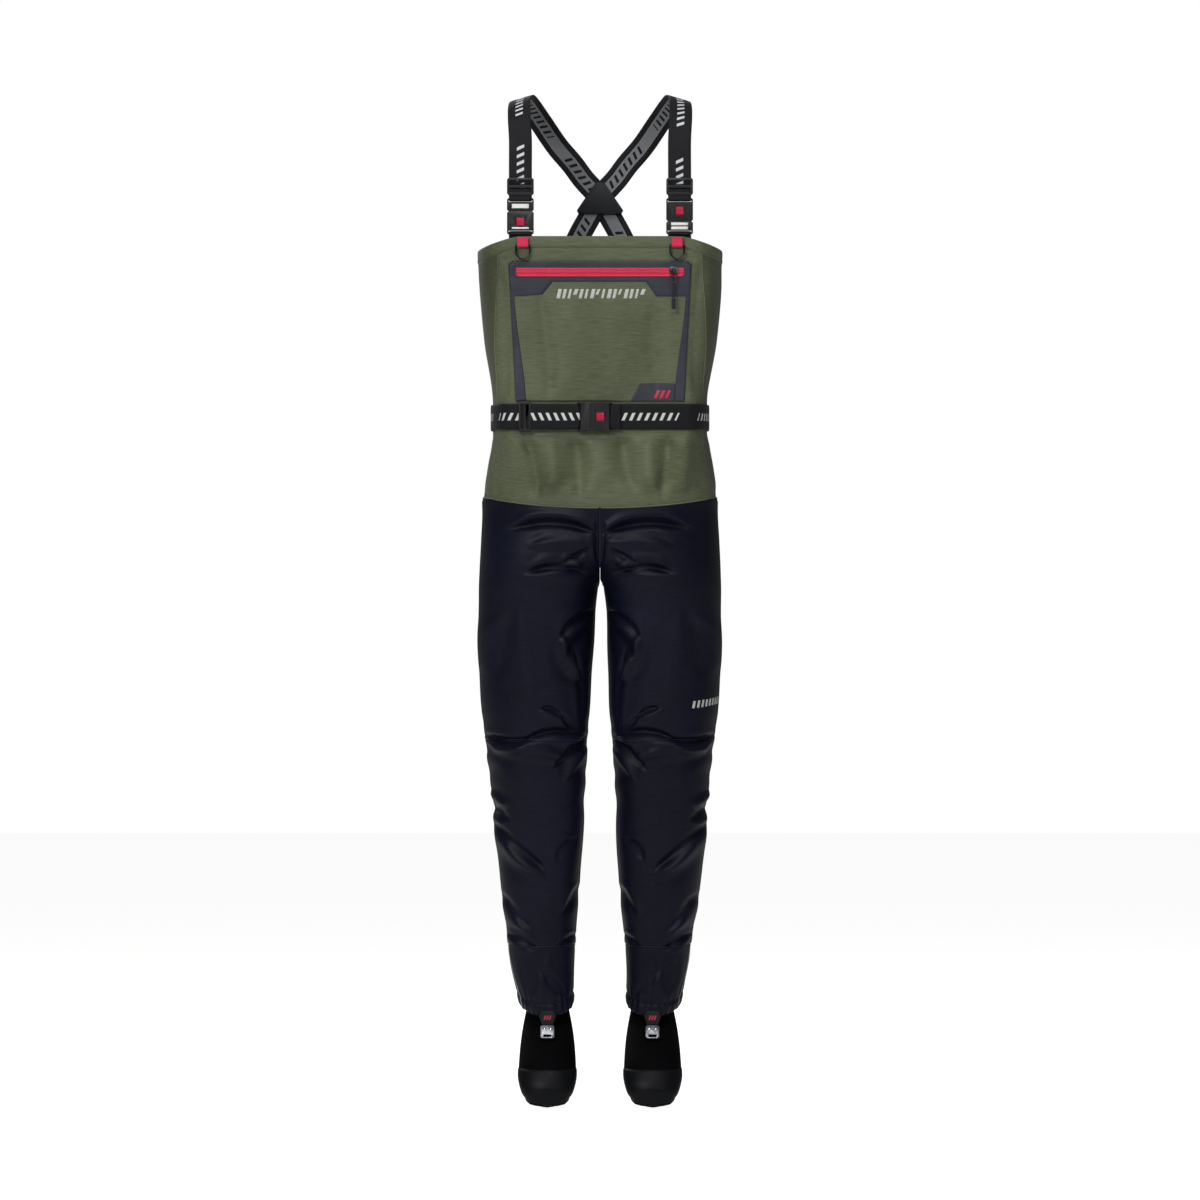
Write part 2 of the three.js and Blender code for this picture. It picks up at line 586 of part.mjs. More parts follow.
const across = (x) => (a, b, w) => V(x + w, a, b);
const strapLoop = [
  [STRAP_Y - TURN, loopTop], ...halfTurn([STRAP_Y, upperBar], TURN, Math.PI), [STRAP_Y + TURN, loopTop],
];
const bibTab = [
  [sewnY(HEM_FRONT - TAB_SEWN), HEM_FRONT - TAB_SEWN], [sewnY(HEM_FRONT), HEM_FRONT],
  ...halfTurn([STRAP_Y, lowerBar], TURN, 0),
  [STRAP_Y - TURN, HEM_FRONT + WEB],
];
const channel = TURN + WEB / 2 + GAP;
const SLEEVE_WALL = 1.2;
const adjusterHalf = STRAP_WIDTH / 2 + BUCKLE_RIM;
const sleeve = slab(plateOutline(adjusterHalf, adjusterFoot, adjusterTop, 2.5),
  -channel - SLEEVE_WALL, channel + SLEEVE_WALL);
const adjuster = surfaceOf(cut(
  sleeve,
  block([-STRAP_WIDTH / 2 - 0.5, -channel, adjusterFoot - 1], [STRAP_WIDTH / 2 + 0.5, channel, adjusterTop + 1]),
  block([-STRAP_WIDTH / 2 + 1, -20, adjusterFoot + 4], [STRAP_WIDTH / 2 - 1, 0, adjusterMiddle - 2.5]),
  block([-STRAP_WIDTH / 2 + 1, -20, adjusterMiddle + 2.5], [STRAP_WIDTH / 2 - 1, 0, adjusterTop - 4]),
));

const shoulderBuckle = buckle(STRAP_WIDTH);
for (const [name, side] of SIDES) {
  const x = side * STRAP_X;
  place(`strap_loop_${name}`, ribbon(strapLoop, STRAP_WIDTH, WEB, across(x)), WEBBING);
  place(`bib_tab_${name}`, ribbon(bibTab, STRAP_WIDTH, WEB, across(x)), WEBBING);

  const hardware = new THREE.Group();
  hardware.position.set(x, STRAP_Y, 0);
  waders.add(hardware);
  place(`strap_adjuster_${name}`, adjuster, PLASTIC, hardware);

  // The right tongue points up and the left one down, so that the straps can't be swapped.
  const body = new THREE.Group();
  body.position.z = side < 0 ? stackFoot + SOCKET_LENGTH : stackTop - SOCKET_LENGTH;
  body.rotation.y = side < 0 ? 0 : Math.PI;
  hardware.add(body);
  place(`shoulder_socket_${name}`, shoulderBuckle.socket, PLASTIC, body);
  place(`shoulder_tongue_${name}`, shoulderBuckle.tongue, PLASTIC, body);
  place(`shoulder_button_${name}`, shoulderBuckle.button, RED, body);
}

// ---------------------------------------------------------------- D-rings in their loops
const hemFace = -CHEST_DEPTH - 0.6;
const LOOP_WEB = 1.6;
const ringTurn = RING_WIRE + GAP + LOOP_WEB / 2;
const ringY = hemFace - GAP - LOOP_WEB / 2 - ringTurn;
const ringLoop = [
  [ringY - ringTurn, HEM_FRONT - 2], ...halfTurn([ringY, RING_Z], ringTurn, Math.PI),
  [ringY + ringTurn, HEM_FRONT - 2],
];
const bow = Array.from({ length: 9 }, (_, i) => {
  const turn = Math.PI * i / 8;
  return V(RING_HALF * Math.cos(turn), 0, -RING_DROP - RING_HALF * Math.sin(turn));
});
const ring = rod([V(-RING_HALF, 0, 0), V(0, 0, 0), V(RING_HALF, 0, 0), ...bow], RING_WIRE, 8, true,
  V(0, 1, 0));
for (const [name, side] of SIDES) {
  const x = side * RING_X;
  place(`ring_loop_${name}`, ribbon(ringLoop, RING_LOOP_WIDTH, LOOP_WEB, across(x)), RED);
  const hinge = new THREE.Group();
  hinge.position.set(x, ringY, RING_Z);
  waders.add(hinge);
  place(`d_ring_${name}`, ring, STEEL, hinge);
}

// ---------------------------------------------------------------- shoulder straps
// Points of a strap and the directions that its outer face looks, from its front end over the
// shoulder, across the back and down to the far side of the back panel.
const CROSS_LIFT = WEB / 2 + GAP; // the straps lie on each other where they cross
const anchorY = trunkFace(ANCHOR_X, HEM_BACK, 1).y + 0.6 + GAP + WEB / 2;
function strapPath(side, lift) {
  const back = BACK_STRAP_DEPTH;
  return [
    [V(STRAP_X, STRAP_Y, strapFoot), V(0, -1, 0)],
    [V(STRAP_X, STRAP_Y, strapFoot + 24), V(0, -1, 0)],
    [V(STRAP_X, STRAP_Y, -STRAP_STRAIGHT), V(0, -1, 0)],
    [V(STRAP_X + 2, STRAP_Y + 16, -38), V(0.05, -0.85, 0.5)],
    [V(STRAP_X + 2, STRAP_Y + 58, -9), V(0.25, -0.42, 0.88)],
    [V(STRAP_X - 3, -10, 1), V(0.3, 0, 0.95)],
    [V(STRAP_X - 13, 42, -7), V(0.3, 0.38, 0.86)],
    [V(STRAP_X - 33, 84, -34), V(0.22, 0.8, 0.55)],
    [V(STRAP_X - 60, back - 9, -72), V(0.1, 0.96, 0.2)],
    [V(STRAP_X - 85, back - 2, -101), V(0, 1, 0.08)],
    [V(28, back + lift, CROSS_Z + 32), V(0, 1, 0)],
    [V(0, back + lift, CROSS_Z), V(0, 1, 0)],
    [V(-18, back + lift, CROSS_Z - 33), V(0, 1, 0)],
    [V(-36, back + lift, CROSS_Z - 66), V(0, 1, 0)],
    [V(-ANCHOR_X + 16, anchorY, HEM_BACK + 2), V(0, 1, 0)],
    [V(-ANCHOR_X, anchorY + 0.4, HEM_BACK - ANCHOR_DROP), V(0, 1, 0)],
  ].map(([point, face]) => [V(side * point.x, point.y, point.z), V(side * face.x, face.y, face.z)]);
}
const STRAP_STEPS = 54;
const strapLift = { left: -CROSS_LIFT, right: CROSS_LIFT };
for (const [name, side] of SIDES) {
  const path = strapPath(side, strapLift[name]);
  place(`shoulder_strap_${name}`, webbing(path, STRAP_WIDTH, WEB, STRAP_STEPS), WEBBING);
}

// A triangular sleeve holds the two straps where they cross.
const sleeveHalf = 2 * WEB + GAP;
const crossY = BACK_STRAP_DEPTH;
const triangle = slab([[-36, CROSS_Z - 27], [36, CROSS_Z - 27], [39, CROSS_Z - 21], [7, CROSS_Z + 26],
  [-7, CROSS_Z + 26], [-39, CROSS_Z - 21]], crossY - sleeveHalf - 1.5, crossY + sleeveHalf + 1.5);
const strapRoom = (side, lift) => solid(webbing(strapPath(side, lift), STRAP_WIDTH + 2 * HEM_CLEAR,
  WEB + 2 * HEM_CLEAR, STRAP_STEPS));
place('back_cross_patch', surfaceOf(cut(triangle, strapRoom(1, -CROSS_LIFT), strapRoom(-1, CROSS_LIFT))),
  RUBBER);

// ---------------------------------------------------------------- belt
const beltFace = -WAIST_DEPTH - GAP - BUCKLE_THICK / 2; // middle plane of the belt buckle
const beltOffset = GAP + BUCKLE_THICK / 2 - TURN; // webbing centre line in front of the bib
const socketBar = BELT_MOUTH_X + SOCKET_LENGTH - BAR_INSET;
const tongueBar = BELT_MOUTH_X - HEAD_LENGTH + BAR_INSET;
const level = (a, b, w) => V(a, b, BELT_Z + w);

// The webbing leaves the socket, runs round the waist and ends inside the slider.
const sliderEnd = BELT_SLIDER_X + 4;
const around = Array.from({ length: 45 }, (_, i) => {
  const angle = mix(20, 320, i / 44);
  const point = trunkPoint(angle, BELT_Z);
  const ahead = trunkPoint(angle + 0.5, BELT_Z);
  const out = V(ahead.y - point.y, point.x - ahead.x, 0).normalize();
  const rise = mix(beltOffset, beltOffset + TURN, smooth(angle, 292, 318));
  return [point.x + out.x * rise, point.y + out.y * rise];
});
const beltPath = [
  [socketBar + 14, beltFace - TURN], ...halfTurn([socketBar, beltFace], TURN, -Math.PI / 2, -1),
  ...around, [sliderEnd, beltFace],
];
place('belt_webbing', ribbon(beltPath, BELT_WIDTH, WEB, level), WEBBING);

// The belt's free end turns round the tongue's bar and lies over the webbing in the slider.
const freeEnd = [
  [BELT_SLIDER_X - BELT_SLIDER_LENGTH / 2 + 2, beltFace - TURN],
  ...halfTurn([tongueBar, beltFace], TURN, -Math.PI / 2), [tongueBar - 60, beltFace + TURN],
];
place('belt_free_end', ribbon(freeEnd, BELT_WIDTH, WEB, level), WEBBING);

const beltHalf = BELT_WIDTH / 2 + BUCKLE_RIM + 1;
const sliderHalf = BELT_SLIDER_LENGTH / 2;
const beltSleeve = cut(
  block([-sliderHalf, -channel - SLEEVE_WALL, -beltHalf], [sliderHalf, channel + SLEEVE_WALL, beltHalf]),
  block([-sliderHalf - 1, -channel, -BELT_WIDTH / 2 - 0.5], [sliderHalf + 1, channel, BELT_WIDTH / 2 + 0.5]),
  block([-sliderHalf + 3.5, -20, -BELT_WIDTH / 2 + 1], [-2, 0, BELT_WIDTH / 2 - 1]),
  block([2, -20, -BELT_WIDTH / 2 + 1], [sliderHalf - 3.5, 0, BELT_WIDTH / 2 - 1]),
);
const beltRide = new THREE.Group();
beltRide.position.set(BELT_SLIDER_X, beltFace, BELT_Z);
waders.add(beltRide);
place('belt_slider', surfaceOf(beltSleeve), PLASTIC, beltRide);

const beltBuckle = buckle(BELT_WIDTH);
const beltBody = new THREE.Group();
beltBody.position.set(BELT_MOUTH_X, beltFace, BELT_Z);
beltBody.rotation.y = -Math.PI / 2;
waders.add(beltBody);
place('belt_socket', beltBuckle.socket, PLASTIC, beltBody);
place('belt_tongue', beltBuckle.tongue, PLASTIC, beltBody);
place('belt_button', beltBuckle.button, RED, beltBody);

// Loops on the back panel carry the belt.
const loopBack = WAIST_DEPTH + GAP + 0.6;
const loopOut = WAIST_DEPTH + beltOffset + WEB + GAP + 0.3;
const loopReach = BELT_WIDTH / 2 + 4;
const loopFoot = (z) => [trunk(z, 2) + GAP + 0.8, z];
const beltLoop = [
  loopFoot(BELT_Z - loopReach - 14), [loopBack + 0.6, BELT_Z - loopReach],
  [loopOut + 0.6, BELT_Z - BELT_WIDTH / 2 - 1], [loopOut + 0.6, BELT_Z + BELT_WIDTH / 2 + 1],
  [loopBack + 0.6, BELT_Z + loopReach], loopFoot(BELT_Z + loopReach + 14),
];
for (const [name, side] of SIDES) {
  place(`belt_loop_${name}`, ribbon(beltLoop, BELT_LOOP_WIDTH, 1.2, across(side * BELT_LOOP_X)), WEBBING);
}

// ---------------------------------------------------------------- trouser legs
// Panels of the wearer's left leg between two heights; front or back of the leg.
const legWall = (front, top, bottom, steps, rows, inner = -FABRIC, outer = 0) => wall((u, v) => {
  const span = (z) => (front
    ? mix(innerAngle(z) + SEAM, 90 - SEAM, u)
    : mix(90 + SEAM, 180 - innerAngle(z) - SEAM, u));
  const height = (angle) => mix(bottom + GAP, top(angle) - GAP, v);
  let z = height(front ? 90 * u : 90 + 90 * u);
  for (let round = 0; round < 4; round += 1) z = height(span(z));
  return legPoint(span(z), z);
}, steps, rows, inner, outer);

const toHip = (angle) => hipHeight(angle);
const toKnee = () => KNEE;
pair('thigh_front', legWall(true, toHip, KNEE, 10, 11), NAVY);
pair('thigh_back', legWall(false, toHip, KNEE, 10, 11), NAVY);
pair('shin_front', legWall(true, toKnee, SHIN, 10, 7), NAVY);
pair('calf_back', legWall(false, toKnee, SHIN, 10, 7), NAVY);

// The gravel guard is one tube from the shin seam to its elastic hem.
const GUARD_TILT = 18; // half of how much lower the hem is at the front than at the back
pair('gravel_guard', wall((u, v) => {
  const angle = 360 * u - 90;
  const low = GUARD_HEM + GUARD_TILT - GUARD_TILT * Math.cos(rad(angle));
  const z = mix(low, SHIN - GAP, v);
  return legPoint(angle, z);
}, 20, 4, -FABRIC, 0, true), NAVY);

// ---------------------------------------------------------------- booties
// The foot is drawn level, toes towards -Y and the ankle at its origin, then tilted and placed.
const foot = profile([ // distance towards the heel (negative: towards the toes), half width, top
  [HEEL, 0, -56],
  [HEEL - 6, 20, -26],
  [HEEL - 22, 31, 8],
  [HEEL - 58, 37, 23],
  [HEEL - 100, BALL_HALF - 4, -6],
  [HEEL - 150, BALL_HALF - 1, -19],
  [HEEL - 190, BALL_HALF, -28],
  [26 - TOE, BALL_HALF - 5, -42],
  [8 - TOE, 31, -54],
  [-TOE, 0, -68],
]);

// A closed loft through rings of points.
function loft(rings) {
  const sides = rings[0].length;
  const positions = rings.flat().flatMap((point) => point.toArray());
  const triangles = [];
  for (let i = 0; i < rings.length - 1; i += 1) {
    for (let k = 0; k < sides; k += 1) {
      const [a, b] = [i * sides + k, i * sides + ((k + 1) % sides)];
      triangles.push(a, a + sides, b + sides, a, b + sides, b);
    }
  }
  for (let k = 1; k < sides - 1; k += 1) {
    const end = (rings.length - 1) * sides;
    triangles.push(0, k, k + 1, end, end + k + 1, end + k);
  }
  return closedMesh(positions, triangles);
}

const ROUND = 16;
const oval = (centre, halfAcross, halfUp, across01, up) => Array.from({ length: ROUND }, (_, k) => {
  const turn = 2 * Math.PI * k / ROUND;
  return centre.clone().addScaledVector(across01, halfAcross * Math.cos(turn))
    .addScaledVector(up, halfUp * Math.sin(turn));
});

// Foot and ankle as solids, shrunk by the wall for the inside; only the outside has a flat sole.
function footSolid(shrink) {
  const stations = [HEEL - 1.5, HEEL - 6, HEEL - 20, HEEL - 50, HEEL - 100, HEEL - 150, HEEL - 190,
    26 - TOE, 8 - TOE, 2 - TOE];
  const rings = stations.map((y) => {
    const at = shrink ? mix(y, (HEEL - TOE) / 2, shrink / ((HEEL + TOE) / 2)) : y;
    const low = -SOLE_DEPTH - 6 + shrink;
    const high = foot(y, 2) - shrink;
    const half = Math.max(4, foot(y, 1) - shrink);
    return oval(V(0, at, (low + high) / 2), half, Math.max(4, (high - low) / 2), V(1, 0, 0), V(0, 0, 1));
  });
  return solid(loft(rings));
}

const ankleTurn = new THREE.Matrix4().makeRotationX(rad(FOOT_TILT));
const ankleShift = new THREE.Matrix4().makeTranslation(ANKLE_X, ANKLE_Y, ANKLE_Z);
const footPlace = ankleShift.clone().multiply(ankleTurn);
const toWorld = (body) => solid(surfaceOf(body).applyMatrix4(footPlace));

function shaftSolid(shrink, top) {
  const rows = [[top, 0, 0], [ANKLE_Z + 40, 0, 0], [ANKLE_Z, 0, 0], [ANKLE_Z - 22 + 1.5 * shrink, 4, 6]];
  return solid(loft(rows.map(([z, narrow, back]) => {
    const [centre, half, depth, middle] = legOval(Math.max(z, GUARD_HEM));
    const across01 = half - FABRIC - 2 - shrink - narrow;
    return oval(V(centre, middle + back, z), across01, depth - FABRIC - 2 - shrink - narrow,
      V(1, 0, 0), V(0, 1, 0));
  })));
}

const underSole = block([-90, -TOE - 20, -SOLE_DEPTH - 60], [90, HEEL + 20, -SOLE_DEPTH]);
const outside = join(toWorld(cut(footSolid(0), underSole)), shaftSolid(0, SOCK_TOP));
const inside = join(toWorld(footSolid(NEOPRENE)), shaftSolid(NEOPRENE, SOCK_TOP + 20));
const underFoot = block([-90, -TOE - 20, -SOLE_DEPTH - 60], [90, HEEL + 20, SOLE_THICK / 2 - SOLE_DEPTH]);
const sockInside = cut(inside, toWorld(underFoot));
const sock = cut(outside, sockInside);

const soleZone = toWorld(block([-90, -TOE - 20, -SOLE_DEPTH - 60],
  [90, HEEL + 20, SOLE_THICK - SOLE_DEPTH - GAP]));
const aboveSole = toWorld(block([-90, -TOE - 20, -SOLE_DEPTH - 60], [90, HEEL + 20, SOLE_THICK - SOLE_DEPTH]));
const toeZone = toWorld(block([-90, -TOE - 20, -SOLE_DEPTH - 60], [90, TOE_CAP - TOE, 100]));
const toeJoint = toWorld(block([-90, -TOE - 20, -SOLE_DEPTH - 60], [90, TOE_CAP - TOE + GAP, 100]));
pair('bootie_sole', surfaceOf(outside.intersect(soleZone)), RUBBER);
pair('bootie_toe_cap', surfaceOf(cut(sock, aboveSole).intersect(toeZone)), RUBBER);
pair('bootie_upper', surfaceOf(cut(sock, aboveSole, toeJoint)), NEOPRENE_BLACK);

// ---------------------------------------------------------------- badge tab and lace hook
const hemFront = legPoint(0, GUARD_HEM);
const tabTop = GUARD_HEM + 8;
const tabFoot = GUARD_HEM - 14;
const tabFace = legPoint(0, tabTop).y - 2 * GAP;
const tabOutline = [
  [-TAB_WIDTH / 2, tabTop - 8], [-TAB_WIDTH / 2 + 5, tabFoot], [TAB_WIDTH / 2 - 5, tabFoot],
  [TAB_WIDTH / 2, tabTop - 8], [TAB_WIDTH / 2 - 5, tabTop], [-TAB_WIDTH / 2 + 5, tabTop],
].map(([x, z]) => [x + hemFront.x, z]);
pair('badge_tab', surfaceOf(slab(tabOutline, tabFace - 2.2, tabFace)), RUBBER);

const HOOK_THICK = 2.4;
const HOOK_TILT = 42; // the hook lies along the instep
const hookPivot = V(hemFront.x, tabFace - HOOK_THICK / 2 - 0.4, tabFoot - GAP - HOOK_THICK / 2);
const hookPlate = slab(plateOutline(HOOK_WIDTH / 2, -HOOK_LENGTH, 0, 3), -HOOK_THICK / 2, HOOK_THICK / 2);
const hookSlot = slab(plateOutline(HOOK_WIDTH / 2 - 5, -HOOK_LENGTH + 3, -HOOK_LENGTH + 8, 1), -10, 10);
const hook = surfaceOf(cut(hookPlate, hookSlot));
hook.rotateX(-rad(HOOK_TILT));
hook.translate(...hookPivot.toArray());
pair('lace_hook', hook, STEEL);

export default waders;
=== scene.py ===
import bpy
import bmesh
import numpy as np
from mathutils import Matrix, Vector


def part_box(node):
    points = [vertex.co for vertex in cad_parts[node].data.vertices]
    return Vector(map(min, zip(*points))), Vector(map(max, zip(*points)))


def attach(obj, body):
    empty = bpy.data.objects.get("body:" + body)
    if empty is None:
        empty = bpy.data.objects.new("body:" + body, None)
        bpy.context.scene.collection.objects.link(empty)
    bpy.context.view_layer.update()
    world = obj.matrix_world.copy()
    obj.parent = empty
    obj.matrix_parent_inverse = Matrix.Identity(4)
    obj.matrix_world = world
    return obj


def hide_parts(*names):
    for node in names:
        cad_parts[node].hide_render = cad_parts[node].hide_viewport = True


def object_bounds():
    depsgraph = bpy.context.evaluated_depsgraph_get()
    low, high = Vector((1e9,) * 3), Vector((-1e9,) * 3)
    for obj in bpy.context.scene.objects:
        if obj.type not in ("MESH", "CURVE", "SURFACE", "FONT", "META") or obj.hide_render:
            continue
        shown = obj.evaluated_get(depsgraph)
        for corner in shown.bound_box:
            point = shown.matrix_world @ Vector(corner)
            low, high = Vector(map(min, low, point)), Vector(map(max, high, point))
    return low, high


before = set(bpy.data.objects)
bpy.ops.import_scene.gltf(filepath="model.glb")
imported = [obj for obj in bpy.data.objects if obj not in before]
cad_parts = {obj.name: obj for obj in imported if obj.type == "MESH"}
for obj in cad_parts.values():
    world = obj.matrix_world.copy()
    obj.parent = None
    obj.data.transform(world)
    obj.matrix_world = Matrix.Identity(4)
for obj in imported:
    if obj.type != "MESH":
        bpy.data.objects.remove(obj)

cad_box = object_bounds()
MM = 0.001

# ---- Camera, floor and lights
# The waders hang from their straps just above a plain pale floor, lit by two large soft lamps in front, a
# lamp overhead and a pale surround. The camera looks level, straight at the front, from twelve metres.
def linear(colour):
    """An sRGB hex colour as linear red, green, blue and alpha."""
    parts = np.array([int(colour[i:i + 2], 16) / 255 for i in (1, 3, 5)])
    low = parts / 12.92
    high = ((parts + 0.055) / 1.055) ** 2.4
    return (*np.where(parts <= 0.04045, low, high).tolist(), 1.0)


def node(tree, kind, settings=None, links=None):
    """Adds a node. settings holds its attributes and input values, links its inputs as (node, output)."""
    made = tree.nodes.new(kind)
    for key, value in (settings or {}).items():
        if isinstance(key, str) and hasattr(made, key):
            setattr(made, key, value)
        else:
            made.inputs[key].default_value = value
    for key, (source, output) in (links or {}).items():
        tree.links.new(source.outputs[output], made.inputs[key])
    return made


CAMERA_AWAY = 12.0
FRONT_PLANE = 0.09
VIEW_WIDTH = 1.98
MIDDLE_HEIGHT = -0.832
camera = bpy.data.cameras.new("camera")
camera.sensor_width = 36
camera.lens = 36 * (CAMERA_AWAY - FRONT_PLANE) / VIEW_WIDTH
view = bpy.data.objects.new("camera", camera)
view.location = (0, -CAMERA_AWAY, MIDDLE_HEIGHT)
view.rotation_euler = (np.pi / 2, 0, 0)
bpy.context.collection.objects.link(view)
bpy.context.scene.camera = view

for name, place, size, energy in (
    ("lamp_left", (-1.5, -3.2, 1.3), 1.0, 68),
    ("lamp_right", (1.3, -3.5, 0.9), 1.3, 16),
    ("lamp_above", (0.1, -1.5, 2.4), 1.0, 30),
    ("lamp_behind", (-0.9, 3.2, 1.0), 2.0, 46),
):
    lamp = bpy.data.lights.new(name, "AREA")
    lamp.size = size
    lamp.energy = energy
    holder = bpy.data.objects.new(name, lamp)
    holder.location = place
    aim = np.array([0, 0, -0.8]) - np.array(place)
    flat_reach = np.hypot(aim[0], aim[1])
    holder.rotation_euler = (np.arctan2(flat_reach, -aim[2]), 0, np.arctan2(-aim[0], aim[1]))
    bpy.context.collection.objects.link(holder)

surround = bpy.data.worlds.new("surround")
surround.use_nodes = True
backdrop = surround.node_tree.nodes["Background"]
backdrop.inputs["Color"].default_value = (1, 1, 1, 1)
ray = node(surround.node_tree, "ShaderNodeLightPath")
glow = node(surround.node_tree, "ShaderNodeMapRange", {3: 0.10, 4: 1.0}, {0: (ray, "Is Camera Ray")})
surround.node_tree.links.new(glow.outputs[0], backdrop.inputs["Strength"])
bpy.context.scene.world = surround
bpy.context.scene.view_settings.view_transform = "Standard"

FLOOR_DROP = 0.004
FLOOR_REACH = 14
floor_height = cad_box[0][2] - FLOOR_DROP
corners = [(-FLOOR_REACH, -FLOOR_REACH), (FLOOR_REACH, -FLOOR_REACH), (FLOOR_REACH, FLOOR_REACH),
           (-FLOOR_REACH, FLOOR_REACH)]
floor_mesh = bpy.data.meshes.new("floor")
floor_mesh.from_pydata([(x, y, floor_height) for x, y in corners], [], [(0, 1, 2, 3)])
floor = bpy.data.objects.new("floor", floor_mesh)
bpy.context.collection.objects.link(floor)
paint = bpy.data.materials.new("painted_floor")
paint.use_nodes = True
painted = paint.node_tree.nodes["Principled BSDF"]
painted.inputs["Base Color"].default_value = linear("#f4f4f2")
painted.inputs["Roughness"].default_value = 0.9
painted.inputs["Emission Color"].default_value = (1, 1, 1, 1)
seen = node(paint.node_tree, "ShaderNodeLightPath")
shine = node(paint.node_tree, "ShaderNodeMapRange", {3: 0.14, 4: 0.86}, {0: (seen, "Is Camera Ray")})
paint.node_tree.links.new(shine.outputs[0], painted.inputs["Emission Strength"])
floor_mesh.materials.append(paint)

# ---- Bib panels
# Four panels of olive laminated nylon, welded edge to edge and taped inside, pulled in at the waist by the
# belt. The cloth is stiff, so it hangs in a few broad soft folds that run down from the hem and the belt.
HEM_FRONT, HEM_SIDE, HEM_BACK, HEM_TALL = -233, -254, -300, 20
BELT_Z, BELT_WIDTH, ZIP_Z = -530, 42, -290
HIP_CENTRE, HIP_SIDE = -680, -662
CORNER = 2 / 2.2
CLOTH = 1.2
MM_PER_DEGREE = 3.3


def smooth(value, low, high):
    """0 below low, 1 above high, and a smooth step between."""
    t = np.clip((value - low) / (high - low), 0, 1)
    return t * t * (3 - 2 * t)


def mix(a, b, t):
    """The point a share t of the way from a to b."""
    return a + (b - a) * t


def power(value, exponent):
    """value to a power, keeping its sign."""
    return np.sign(value) * np.abs(value) ** exponent


def profile(rows):
    """A smooth curve through rows of height and values, listed from the top down. Between rows it is a
    cubic, with the harmonic mean of the two neighbouring slopes at each row, or 0 at a turning point."""
    table = np.array(rows, float)
    spans = np.diff(table[:, 0])
    slopes = np.diff(table[:, 1:], axis=0) / spans[:, None]
    product = slopes[:-1] * slopes[1:]
    total = np.where(product > 0, slopes[:-1] + slopes[1:], 1)
    inner = np.where(product > 0, 2 * product / total, 0)
    tangents = np.vstack([slopes[:1], inner, slopes[-1:]])

    def value(z, k):
        """The k-th value at heights z."""
        z = np.asarray(z, float)
        i = np.clip(np.searchsorted(-table[:, 0], -z, side="right") - 1, 0, len(table) - 2)
        t = np.clip((z - table[i, 0]) / spans[i], 0, 1)
        p, q = table[i, k], table[i + 1, k]
        m, n = tangents[i, k - 1] * spans[i], tangents[i + 1, k - 1] * spans[i]
        return p + t * (m + t * (3 * (q - p) - 2 * m - n + t * (2 * (p - q) + m + n)))

    return value


trunk = profile([  # height, half width, half depth, half width of the flat front
    [HEM_FRONT, 204, 122, 154], [-304, 201, 117.92, 153], [-400, 193, 112.14, 147], [-506, 178, 105, 141],
    [-554, 178, 105, 141], [-610, 186, 111, 87.42], [HIP_SIDE, 193, 115, 0], [HIP_CENTRE, 195, 116, 0],
])
front_seam = profile([[HEM_FRONT, 40], [BELT_Z, 68], [HIP_CENTRE, 84]])
back_seam = profile([[HEM_FRONT, 124], [BELT_Z, 116], [HIP_CENTRE, 104]])


def turned(angle):
    """An angle round the body as -180 to 180, from the middle of the front."""
    return (np.asarray(angle, float) + 180) % 360 - 180


def trunk_point(angle, z):
    """The bare body at an angle and a height: flat in front and behind, with superellipse corners."""
    angle, z = np.broadcast_arrays(turned(angle), np.asarray(z, float))
    turn = np.abs(angle)
    quarter = np.where(turn <= 90, turn, 180 - turn)
    half, depth, flat = trunk(z, 1), trunk(z, 2), trunk(z, 3)
    split = np.maximum(45 * flat / half, 1e-6)
    face = np.where(turn <= 90, -1, 1)
    phi = np.radians(np.clip((quarter - split) / (90 - split), 0, 1) * 90)
    on_flat = quarter < split
    x = np.where(on_flat, flat * quarter / split, flat + (half - flat) * np.sin(phi) ** CORNER)
    y = np.where(on_flat, depth, depth * power(np.cos(phi), CORNER))
    return np.stack([np.sign(angle) * x, face * y, z], -1)


def hem_height(angle):
    """Height of the bib's top edge: level in front, falling to a corner at each side, lowest behind."""
    turn = np.abs(turned(angle))
    reach = np.abs(trunk_point(angle, HEM_FRONT)[..., 0])
    fall = np.where(turn < 90, np.clip((reach - 134) / 70, 0, 1) ** 1.15, 1)
    return mix(mix(HEM_FRONT, HEM_SIDE, fall), HEM_BACK, smooth(turn, 90, 150))


def hip_height(angle):
    """Height of the seam between bib and trousers: a shallow curve, lowest in the middle."""
    return mix(HIP_CENTRE, HIP_SIDE, np.sin(np.radians(angle)) ** 2)


def crease(x, z, start, end, bow, width, depth, roll=0.4):
    """A crease of a depth along a bowed line: a bell across it, tapering to its two ends, with a softer
    roll of the opposite sign beside it."""
    run = np.hypot(end[0] - start[0], end[1] - start[1])
    ux, uz = (end[0] - start[0]) / run, (end[1] - start[1]) / run
    t = ((x - start[0]) * ux + (z - start[1]) * uz) / run
    inside = np.clip(t, 0, 1)
    lens = 0.45 + 0.55 * 4 * inside * (1 - inside)
    aside = ((z - start[1]) * ux - (x - start[0]) * uz - bow * 4 * inside * (1 - inside)) / (width * lens)
    ends = smooth(t, -0.12, 0.22) * smooth(1 - t, -0.12, 0.22)
    return depth * ends * (np.exp(-aside ** 2) - roll * np.exp(-((aside - 2.0) ** 2) / 1.8))


def creases(x, z, rows):
    """The sum of several creases at the points x, z."""
    return sum(crease(x, z, *row) for row in rows)


